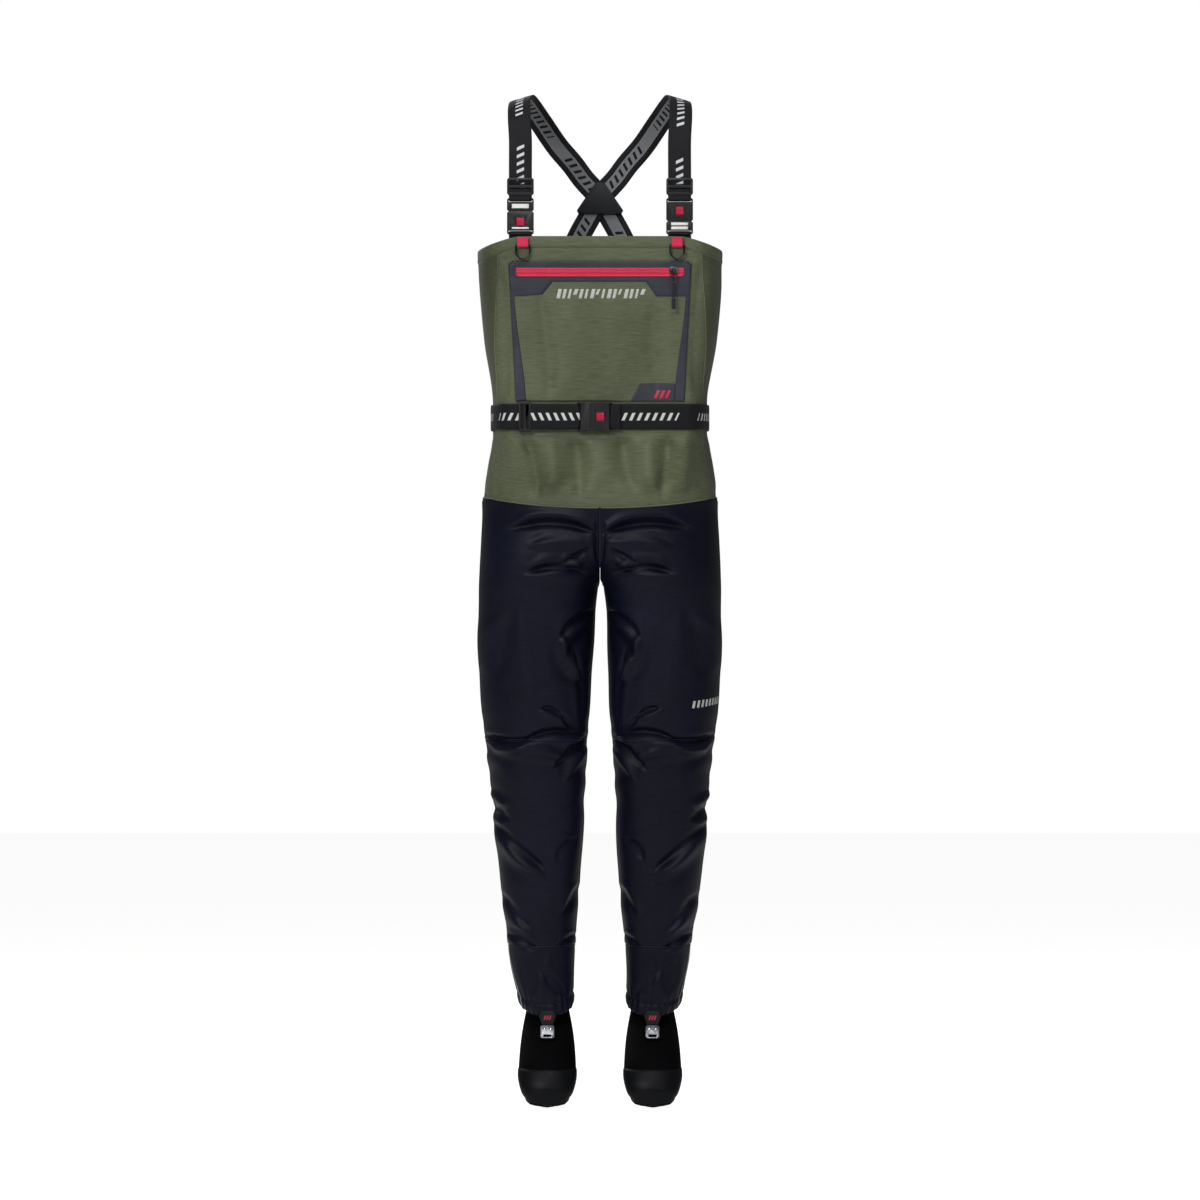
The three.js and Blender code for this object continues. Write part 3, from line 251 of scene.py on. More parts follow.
def ripple(angle, z, seed, tall, deep):
    """Broad uneven waves round a tube of cloth: a few seeded sines that close on themselves."""
    chance = np.random.default_rng(seed)
    total = 0
    for turns in (1, 2, 2, 3, 4, 5):
        phase, slope = chance.uniform(0, 2 * np.pi), chance.uniform(0.6, 1.6)
        total = total + np.sin(turns * np.radians(angle) + slope * z / tall + phase) / (1 + 0.5 * turns)
    return deep * total


BIB_FRONT = [  # start, end, bow, width, depth
    ((-100, -330), (-84, -505), 6, 13, -2.6), ((88, -345), (96, -500), -5, 15, -2.4),
    ((-30, -300), (-46, -500), 0, 30, 1.6), ((34, -310), (28, -500), 4, 26, 1.2),
    ((-124, -556), (-104, -664), 5, 13, -5.6), ((-82, -556), (-74, -650), 3, 18, 4.6),
    ((-44, -556), (-34, -660), 4, 15, -4.8), ((38, -556), (56, -650), -6, 16, -5.2),
    ((84, -556), (88, -648), -4, 17, 4.6), ((112, -556), (104, -660), 0, 13, -4.2),
    ((142, -556), (136, -650), 0, 13, 3.0), ((6, -558), (12, -640), 0, 20, 1.8),
    ((-160, -272), (-128, -262), 0, 5, -2.4), ((160, -272), (128, -262), 0, 5, -2.4),
    ((-172, -262), (-158, -500), 8, 14, -3.0), ((172, -262), (160, -500), -8, 14, -3.0),
]
BIB_BACK = [
    ((-60, -330), (-84, -505), 6, 18, -4.0), ((62, -330), (88, -500), -6, 18, -4.0),
    ((0, -320), (6, -500), 0, 26, -3.0), ((-110, -556), (-76, -650), 5, 14, -5.6),
    ((-30, -556), (-22, -650), 3, 15, -5.0), ((40, -556), (30, -655), -3, 14, -5.2),
    ((104, -556), (120, -650), -4, 15, -5.6), ((-150, -340), (-140, -500), 4, 14, -3.4),
    ((150, -340), (142, -500), -4, 14, -3.4),
]


def trunk_drape(angle, z):
    """How far the cloth stands off the bare body: front and back folds, and waves between them. It lies
    close under the belt, at the hem and at the hip seam."""
    turn = np.abs(turned(angle))
    x = trunk_point(angle, z)[..., 0]
    front = smooth(108 - turn, 0, 26)
    folds = front * creases(x, z, BIB_FRONT) + (1 - front) * creases(x, z, BIB_BACK)
    waves = ripple(angle, z, 5, 90, 1.1) * smooth(turn, 40, 75)
    sides = smooth(turn, 60, 80) * smooth(128 - turn, 0, 22)
    side_pleats = 2.6 * np.sin(np.radians(angle) * 11 + z / 60) * sides
    off_belt = smooth(np.abs(z - BELT_Z), 22, 48)
    off_zip = 1 - np.exp(-((z - ZIP_Z) / 17) ** 4) * smooth(158 - np.abs(x), 0, 12) * front
    off_edges = smooth(hem_height(angle) - HEM_TALL - z, -4, 42) * smooth(z - hip_height(angle), 0, 26)
    return (1.9 * folds + waves + side_pleats * smooth(BELT_Z - z, -60, 40)) * off_belt * off_edges * off_zip


def unit(vectors):
    """Vectors scaled to a length of 1."""
    return vectors / np.maximum(np.linalg.norm(vectors, axis=-1, keepdims=True), 1e-9)


def lifted(surface, angle, z, offset):
    """Points of a surface moved along its outward normal, which is its slope round crossed with up."""
    step = 0.05
    around = surface(angle + step, z) - surface(angle - step, z)
    up = surface(angle, z + step) - surface(angle, z - step)
    return surface(angle, z) + unit(np.cross(around, up)) * np.asarray(offset)[..., None]


def mesh_object(name, points, faces, rounded_look=True):
    """A mesh object from points in mm and its faces, smoothly shaded unless told otherwise."""
    mesh = bpy.data.meshes.new(name)
    mesh.from_pydata((points.reshape(-1, 3) * MM).tolist(), [], faces.tolist())
    mesh.polygons.foreach_set("use_smooth", np.full(len(mesh.polygons), rounded_look))
    mesh.update()
    piece = bpy.data.objects.new(name, mesh)
    bpy.context.collection.objects.link(piece)
    return piece


def grid_object(name, points, flat, ring=False, flip=False):
    """A mesh object from a grid of points in mm, with a flat length across and along (mm) as its UV map.
    ring joins the last column to the first; flip turns the faces over."""
    rows, columns = points.shape[:2]
    j, i = np.meshgrid(np.arange(rows - 1), np.arange(columns if ring else columns - 1), indexing="ij")
    nxt = (i + 1) % columns
    quads = np.stack([j * columns + i, j * columns + nxt, (j + 1) * columns + nxt, (j + 1) * columns + i], -1)
    across = np.broadcast_to(flat[0], (rows, columns + 1 if ring else columns))
    along = np.broadcast_to(flat[1], (rows, columns + 1 if ring else columns))
    corner_uv = np.stack([
        np.stack([across[a, b], along[a, b]], -1)
        for a, b in ((j, i), (j, i + 1), (j + 1, i + 1), (j + 1, i))
    ], 2)
    if flip:
        quads = quads[..., ::-1]
        corner_uv = corner_uv[:, :, ::-1]
    piece = mesh_object(name, points, quads.reshape(-1, 4))
    layer = piece.data.uv_layers.new(name="cut")
    layer.data.foreach_set("uv", (corner_uv.reshape(-1) * MM).astype(np.float32))
    return piece


def walled(piece, thick, into=-1.0):
    """Gives a sheet its wall, in mm, on the inner side unless told otherwise."""
    wall = piece.modifiers.new("wall", "SOLIDIFY")
    wall.thickness = thick * MM
    wall.offset = into
    return piece


def fitted(piece, material, body, slot, *nodes):
    """Gives a piece its finish, the body it rides on and the plain solids it stands for."""
    piece.data.materials.append(material)
    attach(piece, body)
    if nodes:
        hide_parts(*nodes)
    return piece


def plain_finish(name, rough, shine, fuzz=0.0):
    """A material with a roughness, a specular level and a sheen, its node tree, and its shader."""
    material = bpy.data.materials.new(name)
    material.use_nodes = True
    tree = material.node_tree
    shader = tree.nodes["Principled BSDF"]
    shader.inputs["Roughness"].default_value = rough
    shader.inputs["Specular IOR Level"].default_value = shine
    shader.inputs["Sheen Weight"].default_value = fuzz
    return material, tree, shader


def bands(pitch):
    """The scale at which a wave texture repeats every pitch mm."""
    return 0.31416 / (pitch * MM)


def laminate(name, deep, face, pale, rough, slub, fuzz=0.05, shine=0.35):
    """Laminated woven nylon with a matt water-repellent face: fine threads, faint slubs along the weft, and
    a broad unevenness of shade where it has been handled. Threads of 0.5 mm are drawn 1.6 mm wide to show."""
    material, tree, shader = plain_finish(name, rough, shine, fuzz)
    cut = node(tree, "ShaderNodeUVMap", {"uv_map": "cut"})
    weft = node(tree, "ShaderNodeMapping", {"Scale": (45, 420, 1)}, {"Vector": (cut, "UV")})
    slubs = node(tree, "ShaderNodeTexNoise", {"Scale": 1.0, "Detail": 3.0}, {"Vector": (weft, "Vector")})
    place = node(tree, "ShaderNodeTexCoord")
    cloud = node(tree, "ShaderNodeTexNoise", {"Scale": 7.0, "Detail": 4.0}, {"Vector": (place, "Object")})
    both = node(tree, "ShaderNodeMix", {"data_type": "FLOAT", 0: slub},
                {2: (cloud, "Fac"), 3: (slubs, "Fac")})
    shade = node(tree, "ShaderNodeValToRGB", {}, {"Fac": (both, 0)})
    ramp = shade.color_ramp
    ramp.elements[0].position, ramp.elements[0].color = 0.3, linear(deep)
    ramp.elements[1].position, ramp.elements[1].color = 0.72, linear(pale)
    ramp.elements.new(0.5).color = linear(face)
    tree.links.new(shade.outputs["Color"], shader.inputs["Base Color"])
    warp = node(tree, "ShaderNodeTexWave", {"bands_direction": "X", "Scale": bands(1.6)},
                {"Vector": (cut, "UV")})
    fill = node(tree, "ShaderNodeTexWave", {"bands_direction": "Y", "Scale": bands(1.6)},
                {"Vector": (cut, "UV")})
    threads = node(tree, "ShaderNodeMath", {"operation": "MULTIPLY"}, {0: (warp, "Fac"), 1: (fill, "Fac")})
    relief = node(tree, "ShaderNodeMath", {"operation": "MULTIPLY_ADD", 1: 0.5},
                  {0: (threads, 0), 2: (slubs, "Fac")})
    bump = node(tree, "ShaderNodeBump", {"Strength": 0.35, "Distance": 0.0004}, {"Height": (relief, 0)})
    tree.links.new(bump.outputs["Normal"], shader.inputs["Normal"])
    return material


olive = laminate("olive_laminated_nylon", "#454a34", "#585e46", "#696f56", 0.6, 0.5)
# The side panels use a darker copy of the same olive laminate: painted shade, for the shade they fall into as
# they turn away from the lamps.
painted_side_shade_olive = laminate("olive_nylon_painted_side_shade", "#383c2a", "#494e39", "#595e48", 0.6, 0.5)


def on_trunk(angle, z, stand=0.0):
    """Points on the bib's draped cloth, standing off it by a distance."""
    return lifted(trunk_point, angle, z, trunk_drape(angle, z) + stand)


def trunk_panel(name, low, high, columns, rows, cloth, *nodes):
    """A bib panel between two seams, given as angles at a height. Its top is under the hem, its foot at
    the hip seam, and it follows the body with its drape."""
    across, up = np.meshgrid(np.linspace(0, 1, columns), np.linspace(0, 1, rows))
    z = mix(-660.0, -300.0, up)
    for _ in range(5):
        angle = mix(low(z) + 0.1, high(z) - 0.1, across)
        z = mix(hip_height(angle) + 0.3, hem_height(angle) - HEM_TALL + 0.6, up)
    widths = np.abs(high(z) - low(z)) * MM_PER_DEGREE
    panel = grid_object(name, on_trunk(angle, z), ((across - 0.5) * widths, z))
    walled(panel, CLOTH)
    return fitted(panel, cloth, "garment", "olive_fabric", *nodes)


trunk_panel("bib_front", lambda z: -front_seam(z, 1), lambda z: front_seam(z, 1), 170, 150, olive,
            "bib_front_panel")
# The two side panels are drawn in the darker olive copy, which is painted shade.
trunk_panel("bib_side_left", lambda z: front_seam(z, 1), lambda z: back_seam(z, 1), 70, 130, painted_side_shade_olive,
            "bib_side_panel_left")
trunk_panel("bib_side_right", lambda z: 360 - back_seam(z, 1), lambda z: 360 - front_seam(z, 1), 70, 130,
            painted_side_shade_olive, "bib_side_panel_right")
trunk_panel("bib_back", lambda z: back_seam(z, 1), lambda z: 360 - back_seam(z, 1), 130, 120, olive,
            "bib_back_panel")

# ---- Seams, stitches and the chest hem
# The top edge is turned over and stitched down twice all round. The side seams stand as fine welded ridges,
# and every stitch is a short thread lying in the cloth.
olive_ridge = laminate("olive_welded_seam", "#4e5240", "#646954", "#757a66", 0.6, 0.3)


def frame_along(ways):
    """Two directions square to each of the given ones. The guide is up, or back where a path is upright."""
    guide = np.where(np.abs(ways[:, 2:3]) > 0.94, [[0.0, 1.0, 0.0]], [[0.0, 0.0, 1.0]])
    side = unit(np.cross(ways, guide))
    return side, np.cross(side, ways)


def distances(points):
    """How far along a path each of its points is."""
    return np.concatenate([[0], np.cumsum(np.linalg.norm(np.diff(points, axis=0), axis=1))])


def along_path(points, pitch):
    """Points every pitch mm along a path, and the directions there."""
    walked = distances(points)
    marks = np.arange(pitch / 2, walked[-1], pitch)
    spots = np.stack([np.interp(marks, walked, points[:, k]) for k in range(3)], -1)
    ahead = np.stack([np.interp(marks + 0.2, walked, points[:, k]) for k in range(3)], -1)
    behind = np.stack([np.interp(marks - 0.2, walked, points[:, k]) for k in range(3)], -1)
    return spots, unit(ahead - behind)


def cord_grid(points, radius, sides=8, closed=False):
    """A round ridge along a path: a circle carried along it, pinched to a point at open ends."""
    if closed:
        ways = np.roll(points, -1, 0) - np.roll(points, 1, 0)
    else:
        ways = np.gradient(points, axis=0)
    side, up = frame_along(unit(ways))
    turn = np.linspace(0, 2 * np.pi, sides, endpoint=False)
    size = np.full(len(points), float(radius))
    if not closed:
        size[[0, -1]] = 0.02
    ring = np.cos(turn)[None, :, None] * side[:, None] + np.sin(turn)[None, :, None] * up[:, None]
    grid = points[:, None] + ring * size[:, None, None]
    return np.concatenate([grid, grid[:1]]) if closed else grid


def ridge(name, points, radius, material, body, slot, sides=8):
    """A fine welded or piped ridge along a path."""
    grid = cord_grid(points, radius, sides)
    along = np.arange(len(points))[:, None] * 2.0
    piece = grid_object(name, grid, (np.arange(sides + 1)[None, :], along), ring=True, flip=True)
    return fitted(piece, material, body, slot)


def thread_row(name, path, pitch, long, radius, material, body, slot):
    """A row of stitches: a four-sided lozenge of thread for each, lying along the path."""
    spots, ways = along_path(path, pitch)
    side, up = frame_along(ways)
    reach = ways * long / 2
    corners = np.stack([spots - reach, spots + side * radius, spots + up * radius, spots - side * radius,
                        spots - up * radius, spots + reach], 1)
    sides = np.array([[0, 2, 1], [0, 3, 2], [0, 4, 3], [0, 1, 4], [5, 1, 2], [5, 2, 3], [5, 3, 4], [5, 4, 1]])
    faces = (np.arange(len(spots))[:, None, None] * 6 + sides[None]).reshape(-1, 3)
    return fitted(mesh_object(name, corners, faces, False), material, body, slot)


def spun_thread(name, colour, tint):
    """Polyester sewing thread: a soft low sheen with twist, so its shade varies a little along the row."""
    material, tree, shader = plain_finish(name, 0.55, 0.5)
    place = node(tree, "ShaderNodeTexCoord")
    twist = node(tree, "ShaderNodeTexNoise", {"Scale": 700.0}, {"Vector": (place, "Object")})
    shade = node(tree, "ShaderNodeMix", {"data_type": "RGBA", 6: linear(colour), 7: linear(tint)},
                 {0: (twist, "Fac")})
    tree.links.new(shade.outputs[2], shader.inputs["Base Color"])
    return material


olive_thread = spun_thread("olive_polyester_thread", "#3c4032", "#565b48")
dark_thread = spun_thread("black_polyester_thread", "#15151a", "#2b2b32")
HEM_PROUD, HEM_STEP = 0.65, 3.2


def hem_surface(angle, share):
    """The turned hem: share runs from its stitched foot to its rolled top edge, which curls inwards."""
    turn = np.asarray(share, float)
    z = hem_height(angle) - (1 - np.minimum(turn, 1)) * HEM_TALL
    puff = HEM_PROUD * (1 - ((turn - 0.5) / 0.5) ** 4)
    gathers = 0.35 * np.sin(np.radians(angle) * 34) * turn * (1 - turn)
    return lifted(trunk_point, angle, z, puff + gathers)


around, up = np.meshgrid(np.linspace(0, 360, 361)[:-1], np.linspace(0, 1, 15))
hem = grid_object("hem_turned", hem_surface(around, up),
                  (np.arange(361)[None, :] * HEM_STEP, up[:, :1] * HEM_TALL), ring=True)
walled(hem, 2.2)
fitted(hem, olive, "garment", "olive_fabric", "chest_hem")
angles = np.linspace(0, 360, 721)
for row, share in (("hem_stitch_low", 0.1), ("hem_stitch_high", 0.2)):
    path = lifted(trunk_point, angles, hem_height(angles) - (1 - share) * HEM_TALL, 1.0)
    thread_row(row, path, 3.6, 2.7, 0.3, olive_thread, "garment", "olive_fabric")

for name, curve, way in (("front_left", front_seam, 1), ("front_right", front_seam, -1),
                         ("back_left", back_seam, 1), ("back_right", back_seam, -1)):
    top = float(hem_height(curve(HEM_SIDE - 30, 1))) - HEM_TALL + 2
    heights = np.linspace(top, HIP_CENTRE + 12, 120)
    seam_angle = way * curve(heights, 1)
    clear = np.abs(heights - BELT_Z) > 20
    path = on_trunk(seam_angle, heights, np.where(clear, 0.35, -0.6))
    ridge(f"bib_seam_{name}", path, 0.9, olive_ridge, "garment", "olive_fabric")
    for row, beside in (("a", 0.9), ("b", -0.9)):
        stitch_angle = seam_angle + beside * way
        for part, keep in (("upper", heights > BELT_Z + 26), ("lower", heights < BELT_Z - 26)):
            path = on_trunk(stitch_angle, heights, 0.1)[keep]
            thread_row(f"bib_seam_{name}_{row}_{part}", path, 3.4, 2.5, 0.25, olive_thread, "garment",
                       "olive_fabric")

# ---- Chest pocket
# A flat bonded pocket on the bib front: an olive panel edged all round by a charcoal film trim that widens
# under the zip, and a charcoal corner patch with a small red mark. The layers are welded on, not sewn.
POCKET_TOP, POCKET_FLOOR = -274, -504
PANEL_OUT, TRIM_OUT = 2.0, 3.4


def pocket_edge(z):
    """Half width of the pocket at a height."""
    return mix(151, 139, (POCKET_TOP - z) / (POCKET_TOP - POCKET_FLOOR))


def front_point(x, z, offset):
    """A point on the bib's draped front, at x and z, standing off it. In the flat part, x grows evenly
    with the angle and would reach the body's half width at 45 degrees."""
    x, z = np.broadcast_arrays(np.asarray(x, float), np.asarray(z, float))
    return on_trunk(45 * x / trunk(z, 1), z, offset)


film = laminate("charcoal_bonded_film", "#2a2b33", "#383943", "#464753", 0.46, 0.25, 0.0, 0.22)
across, up = np.meshgrid(np.linspace(-1, 1, 150), np.linspace(0, 1, 130))
z = mix(POCKET_FLOOR, POCKET_TOP, up)
panel = grid_object("pocket_front", front_point(across * pocket_edge(z), z, PANEL_OUT), (across * 145, z))
walled(panel, 1.0)
fitted(panel, olive, "garment", "olive_fabric", "pocket_panel")

BAND_FOOT, NOTCH_TOP, BAND = ZIP_Z - 42, ZIP_Z - 18, 17


def inner_edge(z):
    """Half width of the opening inside the trim."""
    return pocket_edge(z) - BAND * mix(0.4, 1, smooth(BAND_FOOT - z, 0, 170))


def polyline(points, counts):
    """Points along a line of straight runs, with a chosen number of steps on each."""
    parts = [np.linspace(a, b, n, endpoint=False) for a, b, n in zip(points[:-1], points[1:], counts)]
    return np.concatenate(parts + [np.array([points[-1]], float)])


runs = (14, 10, 60, 10, 14)
side_heights = np.linspace(POCKET_FLOOR, BAND_FOOT, 61)
left_inner = np.stack([-inner_edge(side_heights), side_heights], -1)
right_inner = np.stack([inner_edge(side_heights), side_heights], -1)[::-1]
middle_inner = polyline([(-inner_edge(BAND_FOOT), BAND_FOOT), (-95, BAND_FOOT + 3), (-78, NOTCH_TOP),
                         (76, NOTCH_TOP), (92, BAND_FOOT), (inner_edge(BAND_FOOT), BAND_FOOT)], runs)
inner_line = np.concatenate([left_inner[:-1], middle_inner, right_inner[1:]])
left_outer = np.stack([-pocket_edge(side_heights), side_heights], -1)
top_outer = polyline([(-pocket_edge(BAND_FOOT), BAND_FOOT), (-pocket_edge(POCKET_TOP - 6), POCKET_TOP - 6),
                      (-145, POCKET_TOP), (145, POCKET_TOP), (pocket_edge(POCKET_TOP - 6), POCKET_TOP - 6),
                      (pocket_edge(BAND_FOOT), BAND_FOOT)], runs)
outer_line = np.concatenate([left_outer[:-1], top_outer, left_outer[::-1][1:] * [-1, 1]])
share = np.linspace(0, 1, 12)[:, None, None]
band = mix(outer_line[None], inner_line[None], share)
edge_fall = 0.7 * (1 - np.minimum(1, np.minimum(share, 1 - share) * 11))[..., 0]
trim_points = front_point(band[..., 0], band[..., 1], TRIM_OUT - edge_fall)
trim = grid_object("pocket_film_trim", trim_points, (band[0, :, 0][None, :], band[..., 1]), flip=True)
walled(trim, 0.9)
fitted(trim, film, "garment", "trim_film", "pocket_trim")

PATCH_TOP = POCKET_FLOOR + 29
across, up = np.meshgrid(np.linspace(0, 1, 60), np.linspace(0, 1, 24))
z = mix(POCKET_FLOOR, PATCH_TOP, up)
x = mix(mix(50, 66, up), inner_edge(z) - 0.3, across)
patch_fall = 0.7 * (1 - np.minimum(1, np.minimum(across, 1 - up) * 24))
patch = grid_object("pocket_film_corner", front_point(x, z, TRIM_OUT - patch_fall), (x, z))
walled(patch, 0.9)
fitted(patch, film, "garment", "trim_film", "pocket_corner_patch")

# ---- Pocket zip
# A water-tight zip: red coated tape welded into the trim, with its closed teeth showing as a fine ribbed
# ridge along the middle. The slider and its wire pull are dark plated metal, the grip is black rubber cord.
ZIP_HALF, ZIP_TALL = 138, 19
plain_front = -trunk(ZIP_Z, 2)


def moulded(name, colour, tint, rough, grain=900.0, bump=0.08, shine=0.4):
    """Injection-moulded nylon or acetal: a fine spark-eroded grain that breaks up its gloss, with a slight
    cloudiness of shade."""
    material, tree, shader = plain_finish(name, rough, shine)
    place = node(tree, "ShaderNodeTexCoord")
    fine = node(tree, "ShaderNodeTexNoise", {"Scale": grain, "Detail": 2.0}, {"Vector": (place, "Object")})
    cloud = node(tree, "ShaderNodeTexNoise", {"Scale": 60.0, "Detail": 3.0}, {"Vector": (place, "Object")})
    shade = node(tree, "ShaderNodeMix", {"data_type": "RGBA", 6: linear(colour), 7: linear(tint)},
                 {0: (cloud, "Fac")})
    tree.links.new(shade.outputs[2], shader.inputs["Base Color"])
    gloss = node(tree, "ShaderNodeMapRange", {3: rough - 0.07, 4: rough + 0.09}, {0: (fine, "Fac")})
    tree.links.new(gloss.outputs[0], shader.inputs["Roughness"])
    relief = node(tree, "ShaderNodeBump", {"Strength": bump, "Distance": 0.0003}, {"Height": (fine, "Fac")})
    tree.links.new(relief.outputs["Normal"], shader.inputs["Normal"])
    return material


def plated(name, colour, tint, rough):
    """Zinc or steel with a dark nickel plate: metal, with a fine grain that breaks up its gloss and a slight
    cloudiness of shade."""
    material = moulded(name, colour, tint, rough, 500.0, 0.05)
    material.node_tree.nodes["Principled BSDF"].inputs["Metallic"].default_value = 1.0
    return material


zip_red = moulded("red_coated_zip_tape", "#c3163c", "#d8244b", 0.42)
tree = zip_red.node_tree
shader = tree.nodes["Principled BSDF"]
cut = node(tree, "ShaderNodeUVMap", {"uv_map": "cut"})
teeth = node(tree, "ShaderNodeTexWave", {"bands_direction": "X", "Scale": bands(2.4)},
             {"Vector": (cut, "UV")})
tooth_bump = node(tree, "ShaderNodeBump", {"Strength": 0.4, "Distance": 0.0005}, {"Height": (teeth, "Fac")})
tree.links.new(tooth_bump.outputs["Normal"], shader.inputs["Normal"])

along, over = np.meshgrid(np.linspace(-1, 1, 300), np.linspace(-1, 1, 41))
end_round = np.sqrt(np.clip(1 - (np.clip(np.abs(along) * ZIP_HALF - ZIP_HALF + 6, 0, 6) / 6) ** 2, 0, 1))
height = over * ZIP_TALL / 2 * mix(0.62, 1, end_round)
lane = np.abs(height)
rise = (0.25 + 0.55 * smooth(4.6 - lane, 0, 1.8) - 0.3 * smooth(0.9 - lane, 0, 0.7)
        + 0.25 * smooth(lane, 7.6, 8.6))
x = along * ZIP_HALF
tape_points = np.stack([x, plain_front - 3.4 - rise, ZIP_Z + height], -1)
tape = grid_object("zip_coated_tape", tape_points, (x, height))
walled(tape, 0.8)
fitted(tape, zip_red, "garment", "zip_red", "zip_tape")


def box_mm(source):
    """The low and high corners of a plain solid's box, in mm."""
    return [np.array(corner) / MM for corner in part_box(source)]


def rounded(name, source, width, material, body, slot, segments=2):
    """A moulded or cast piece: the plain solid with its facets joined and every edge rounded by a radius."""
    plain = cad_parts[source]
    mesh = plain.data.copy()
    mesh.materials.clear()
    shape = bmesh.new()
    shape.from_mesh(mesh)
    bmesh.ops.transform(shape, matrix=plain.matrix_world, verts=shape.verts)
    bmesh.ops.remove_doubles(shape, verts=shape.verts, dist=1e-6)
    bmesh.ops.dissolve_limit(shape, angle_limit=np.radians(2), verts=shape.verts, edges=shape.edges)
    shape.to_mesh(mesh)
    shape.free()
    mesh.polygons.foreach_set("use_smooth", np.ones(len(mesh.polygons), bool))
    piece = bpy.data.objects.new(name, mesh)
    bpy.context.collection.objects.link(piece)
    edges = piece.modifiers.new("rounding", "BEVEL")
    edges.width = width * MM
    edges.segments = segments
    edges.limit_method = "ANGLE"
    edges.angle_limit = np.radians(32)
    edges.harden_normals = True
    return fitted(piece, material, body, slot, source)


gunmetal = plated("dark_nickel_plate", "#3a3a3e", "#55565c", 0.34)
cord_rubber = moulded("black_rubber_cord", "#141416", "#222226", 0.6)
rounded("zip_slider_cast", "zip_slider", 0.5, gunmetal, "zip_slider", "dark_metal")
rounded("zip_pull_wire", "zip_pull", 0.25, gunmetal, "zip_pull", "dark_metal")


def turns_of(values, sides):
    """A grid with a row for each value and a full turn of angles along it."""
    return np.meshgrid(values, np.linspace(0, 2 * np.pi, sides, endpoint=False), indexing="ij")


pull_low, pull_high = box_mm("zip_pull_grip")
pull_x = (pull_low[0] + pull_high[0]) / 2
pull_y = (pull_low[1] + pull_high[1]) / 2
grip_top, grip_foot = pull_high[2], pull_low[2]
drop, turn = turns_of(np.linspace(0, 1, 90), 24)
fall = grip_top - drop * (grip_top - grip_foot)
knob = smooth(drop, 0.55, 0.63)
girth = mix(1.7 + 0.12 * np.sin(drop * 120), 3.1 + 0.22 * np.cos(drop * 95), knob)
girth = girth * np.sqrt(np.clip(1 - (2 * drop - 1) ** 24, 0, 1)) + 0.02
grip_points = np.stack([pull_x + girth * np.cos(turn), pull_y + girth * np.sin(turn), fall], -1)
grip = grid_object("zip_grip_cord", grip_points, (np.arange(25)[None, :] * 0.6, -fall[:, :1]), ring=True,
                   flip=True)
fitted(grip, cord_rubber, "zip_pull", "black_rubber", "zip_pull_grip")

# ---- Trouser legs
# Each leg is four panels of navy laminated nylon, cut with a bent knee and welded at the sides, the inseam,
# the knee and the shin. The cloth is heavy and creases sharply at the crotch and the knees.
CROTCH, KNEE, SHIN, GUARD_HEM = -774, -1063, -1406, -1521
SEAM_GAP = 0.3
leg = profile([  # height, centre, half width, half depth, middle
    [CROTCH, 100, 100, 117, 0], [-819, 104, 97, 108, 0], [-964, 106, 92, 96, -2], [KNEE, 106, 85, 86, -8],
    [-1129, 104, 78, 80, -4], [-1261, 100, 70, 74, 8], [-1360, 97.5, 59, 64, 10], [-1426, 96.5, 53, 57, 9],
    [-1492, 90, 45, 52, 6], [GUARD_HEM, 87, 39.5, 47, 4],
])


def sharp_oval(z):
    """Centre, half width, half depth and middle of a leg's section. Above the crotch the two legs run
    into each other and into the hips."""
    down = smooth(HIP_CENTRE - z, 0, HIP_CENTRE - CROTCH)
    outer = mix(195.0, 200.0, down)
    centre = outer / 2 * np.clip((HIP_CENTRE - z) / (HIP_CENTRE - CROTCH), 0, None)
    above = z > CROTCH
    return (np.where(above, centre, leg(z, 1)), np.where(above, outer - centre, leg(z, 2)),
            np.where(above, mix(116.0, 117.0, down), leg(z, 3)), np.where(above, 0, leg(z, 4)))


def leg_oval(z):
    """The leg's section averaged over 72 mm of height, so that the cloth turns softly under the hips."""
    z = np.asarray(z, float)
    reach = 36 * smooth(HIP_CENTRE - z, 0, 60) * smooth(z - SHIN, -20, 60)
    return tuple(np.mean([sharp_oval(z + share * reach) for share in (-1, -0.5, 0, 0.5, 1)], axis=0))


def leg_point(angle, z):
    """The bare left leg: 0 is its front, 90 its outer side and -90 its inner side."""
    angle, z = np.broadcast_arrays(np.asarray(angle, float), np.asarray(z, float))
    centre, half, depth, middle = leg_oval(z)
    sine, cosine = np.sin(np.radians(angle)), np.cos(np.radians(angle))
    return np.stack([centre + half * power(sine, CORNER), middle - depth * power(cosine, CORNER), z], -1)


def inner_angle(z):
    """Angle at which a leg meets the plane between the legs, or its innermost line."""
    centre, half, _, _ = leg_oval(z)
    reach = np.clip((centre - SEAM_GAP) / half, 0, 1)
    return -np.degrees(np.arcsin(reach ** (1 / CORNER)))


